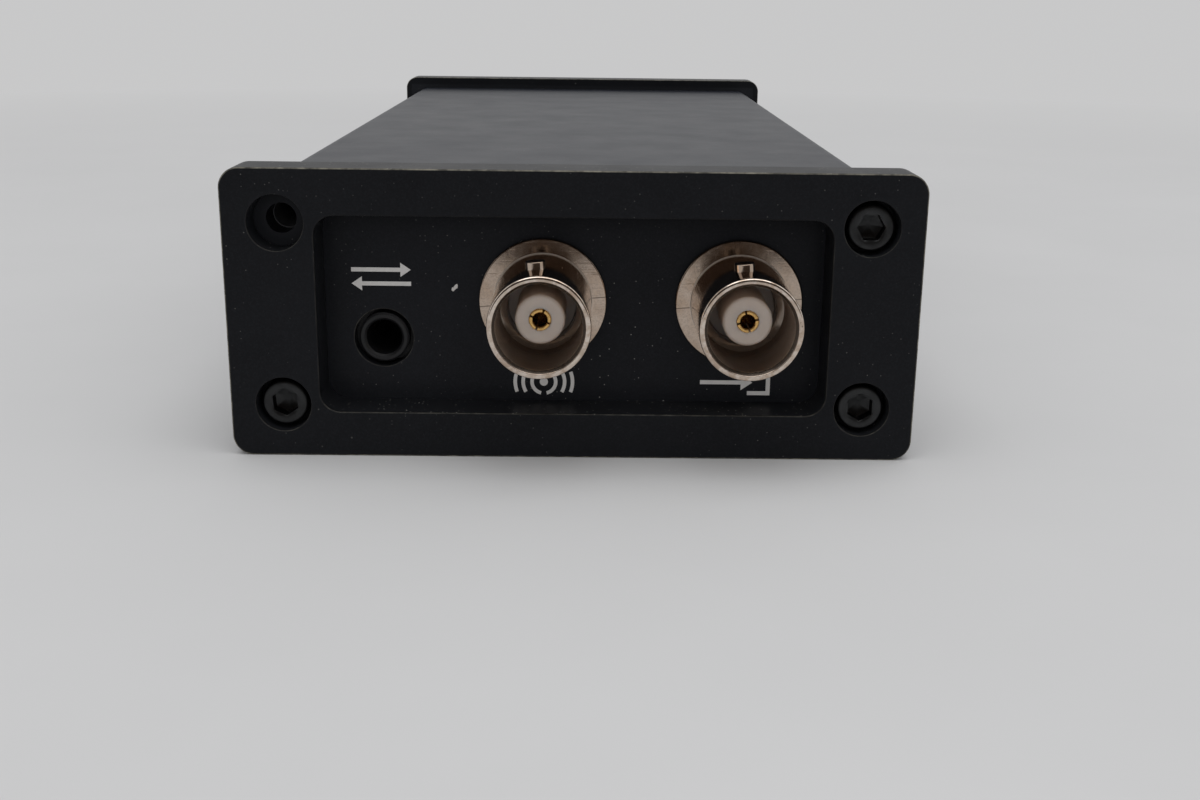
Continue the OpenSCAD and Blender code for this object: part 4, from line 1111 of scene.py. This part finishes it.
INK_Y0, INK_Y1, LINE_W = PANEL_Y - 0.02, PANEL_Y + 0.01, 0.42
SWAP_X0, SWAP_X1, SWAP_Z, SWAP_GAP, SWAP_HEAD = -22.1, -16.2, 17.05, 1.4, 1.15
WAVE_X, WAVE_Z, WAVE_DOT_R, WAVE_W, WAVE_RADII = -3.02, 6.4, 0.42, 0.36, (1.25, 2.15, 2.95)
INWARD_X0, INWARD_X1, INWARD_Z, INWARD_HEAD = 12.8, 18.1, 6.52, 1.3
BRACKET_X0, BRACKET_X1, BRACKET_Z0, BRACKET_Z1 = 17.6, 19.9, 5.2, 7.85
marks = Shape()


def ink(outline):
    """A thin printed area on the rear panel"""
    a = marks.ring(at_y(outline, INK_Y0))
    b = marks.ring(at_y(outline, INK_Y1))
    marks.join(a, b)
    marks.fill([a])
    marks.fill([b])


def arrow(x0, x1, z, head):
    neck = x1 - (1 if x1 > x0 else -1) * head * 0.9
    wing, half = head * 0.62, LINE_W / 2
    ink([(x0, z - half), (neck, z - half), (neck, z - wing), (x1, z), (neck, z + wing), (neck, z + half),
         (x0, z + half)])


def arc_band(cx, cz, r, w, a0, a1, n=20):
    def edge(radius, a, b):
        turns = [math.radians(a + (b - a) * i / n) for i in range(n + 1)]
        return [(cx + radius * math.cos(t), cz + radius * math.sin(t)) for t in turns]

    ink(edge(r + w / 2, a0, a1) + edge(r - w / 2, a1, a0))


arrow(SWAP_X0, SWAP_X1, SWAP_Z + SWAP_GAP / 2, SWAP_HEAD)
arrow(SWAP_X1, SWAP_X0, SWAP_Z - SWAP_GAP / 2, SWAP_HEAD)
ink(circle(WAVE_X, WAVE_Z, WAVE_DOT_R, 24)())
for side in (0, 180):
    for r in WAVE_RADII:
        half = math.degrees(math.asin(WAVE_RADII[0] / r)) * 0.85
        arc_band(WAVE_X, WAVE_Z, r - 0.05, WAVE_W, side - half, side + half)
arrow(INWARD_X0, INWARD_X1, INWARD_Z, INWARD_HEAD)
ink([(BRACKET_X0, BRACKET_Z0), (BRACKET_X1, BRACKET_Z0), (BRACKET_X1, BRACKET_Z1), (BRACKET_X0, BRACKET_Z1),
     (BRACKET_X0, BRACKET_Z1 - LINE_W), (BRACKET_X1 - LINE_W, BRACKET_Z1 - LINE_W),
     (BRACKET_X1 - LINE_W, BRACKET_Z0 + LINE_W), (BRACKET_X0, BRACKET_Z0 + LINE_W)])
marks.make("rear_marks", "print", sharp=30, weighted=False)

# Stage and light

def stage_quad(name, points):
    me = bpy.data.meshes.new(name)
    me.from_pydata(points, [], [(0, 1, 2, 3)])
    ob = bpy.data.objects.new(name, me)
    scene.collection.objects.link(ob)
    return ob


def seen_rays(tree):
    """1 for rays that show a surface to the camera, also by mirror or glass, and 0 for soft light"""
    path = tree.nodes.new("ShaderNodeLightPath")
    seen = path.outputs["Is Camera Ray"]
    for kind in ("Is Glossy Ray", "Is Transmission Ray"):
        either = tree.nodes.new("ShaderNodeMath")
        either.operation = "MAXIMUM"
        tree.links.new(seen, either.inputs[0])
        tree.links.new(path.outputs[kind], either.inputs[1])
        seen = either.outputs[0]
    return seen


PALE, WORLD_LIGHT = (0.58, 0.58, 0.583), (0.505, 0.505, 0.508)
FLOOR = 6.0
floor = stage_quad("floor", [(x * FLOOR, y * FLOOR, 0) for x, y in ((-1, -1), (1, -1), (1, 1), (-1, 1))])

# The floor's own look near the object fades to an even pale tone far away
f = Nodes("pale_floor")
cloud = f.remap(f.noise(14.0, 4.0, 0.6), 0.35, 0.65)
f.set(color=f.mix(cloud, (0.612, 0.613, 0.617), (0.630, 0.631, 0.635)), rough=0.75, spec=0.15)
away = f.node("ShaderNodeVectorMath", operation="LENGTH")
f.link(f.co, away.inputs[0])
fade = f.remap(away.outputs["Value"], 0.16, 0.48)
glow = f.node("ShaderNodeEmission")
glow.inputs["Color"].default_value = (*PALE, 1.0)
blend = f.node("ShaderNodeMixShader")
f.link(f.mul(fade, seen_rays(f.t)), blend.inputs[0])
f.link(f.bsdf.outputs[0], blend.inputs[1])
f.link(glow.outputs[0], blend.inputs[2])
f.link(blend.outputs[0], f.t.nodes["Material Output"].inputs["Surface"])
floor.data.materials.append(f.m)

world = bpy.data.worlds.new("studio")
scene.world = world
world.use_nodes = True
wt = world.node_tree
bg = wt.nodes["Background"]
pick = wt.nodes.new("ShaderNodeMix")
pick.data_type = "RGBA"
wt.links.new(seen_rays(wt), pick.inputs[0])
pick.inputs[6].default_value = (*WORLD_LIGHT, 1.0)
pick.inputs[7].default_value = (*PALE, 1.0)
wt.links.new(pick.outputs[2], bg.inputs["Color"])
bg.inputs["Strength"].default_value = 1.0


def lamp(name, at, aim, size, power):
    d = bpy.data.lights.new(name, "AREA")
    d.shape = "RECTANGLE"
    d.size, d.size_y = size
    d.energy = power
    o = bpy.data.objects.new(name, d)
    scene.collection.objects.link(o)
    o.location = at
    o.rotation_euler = (Vector(aim) - Vector(at)).to_track_quat("-Z", "Y").to_euler()
    return o


# A dark card behind the camera, which only reflections see
card = stage_quad("card", [(-0.4, -0.33, 0.0), (0.4, -0.33, 0.0), (0.4, -0.42, 0.5), (-0.4, -0.42, 0.5)])
card.visible_camera = False
card.visible_diffuse = False
card.visible_shadow = False
c = Nodes("card_brown")
cloud = c.remap(c.noise(3.0, 3.0, 0.6), 0.35, 0.65)
c.set(color=c.mix(cloud, (0.054, 0.038, 0.029), (0.070, 0.053, 0.042)), rough=0.9, spec=0.1)
card.data.materials.append(c.m)

lamp("overhead", (0.03, -0.24, 1.15), (0, -0.05, 0), (1.4, 1.1), 7.0)
fill = lamp("front_fill", (0.02, -0.75, 0.21), (0, -0.07, 0.015), (0.8, 0.26), 0.88)
fill.visible_glossy = False
lamp("side", (0.95, 0.1, 0.75), (0, 0, 0.02), (0.7, 0.7), 0.6)
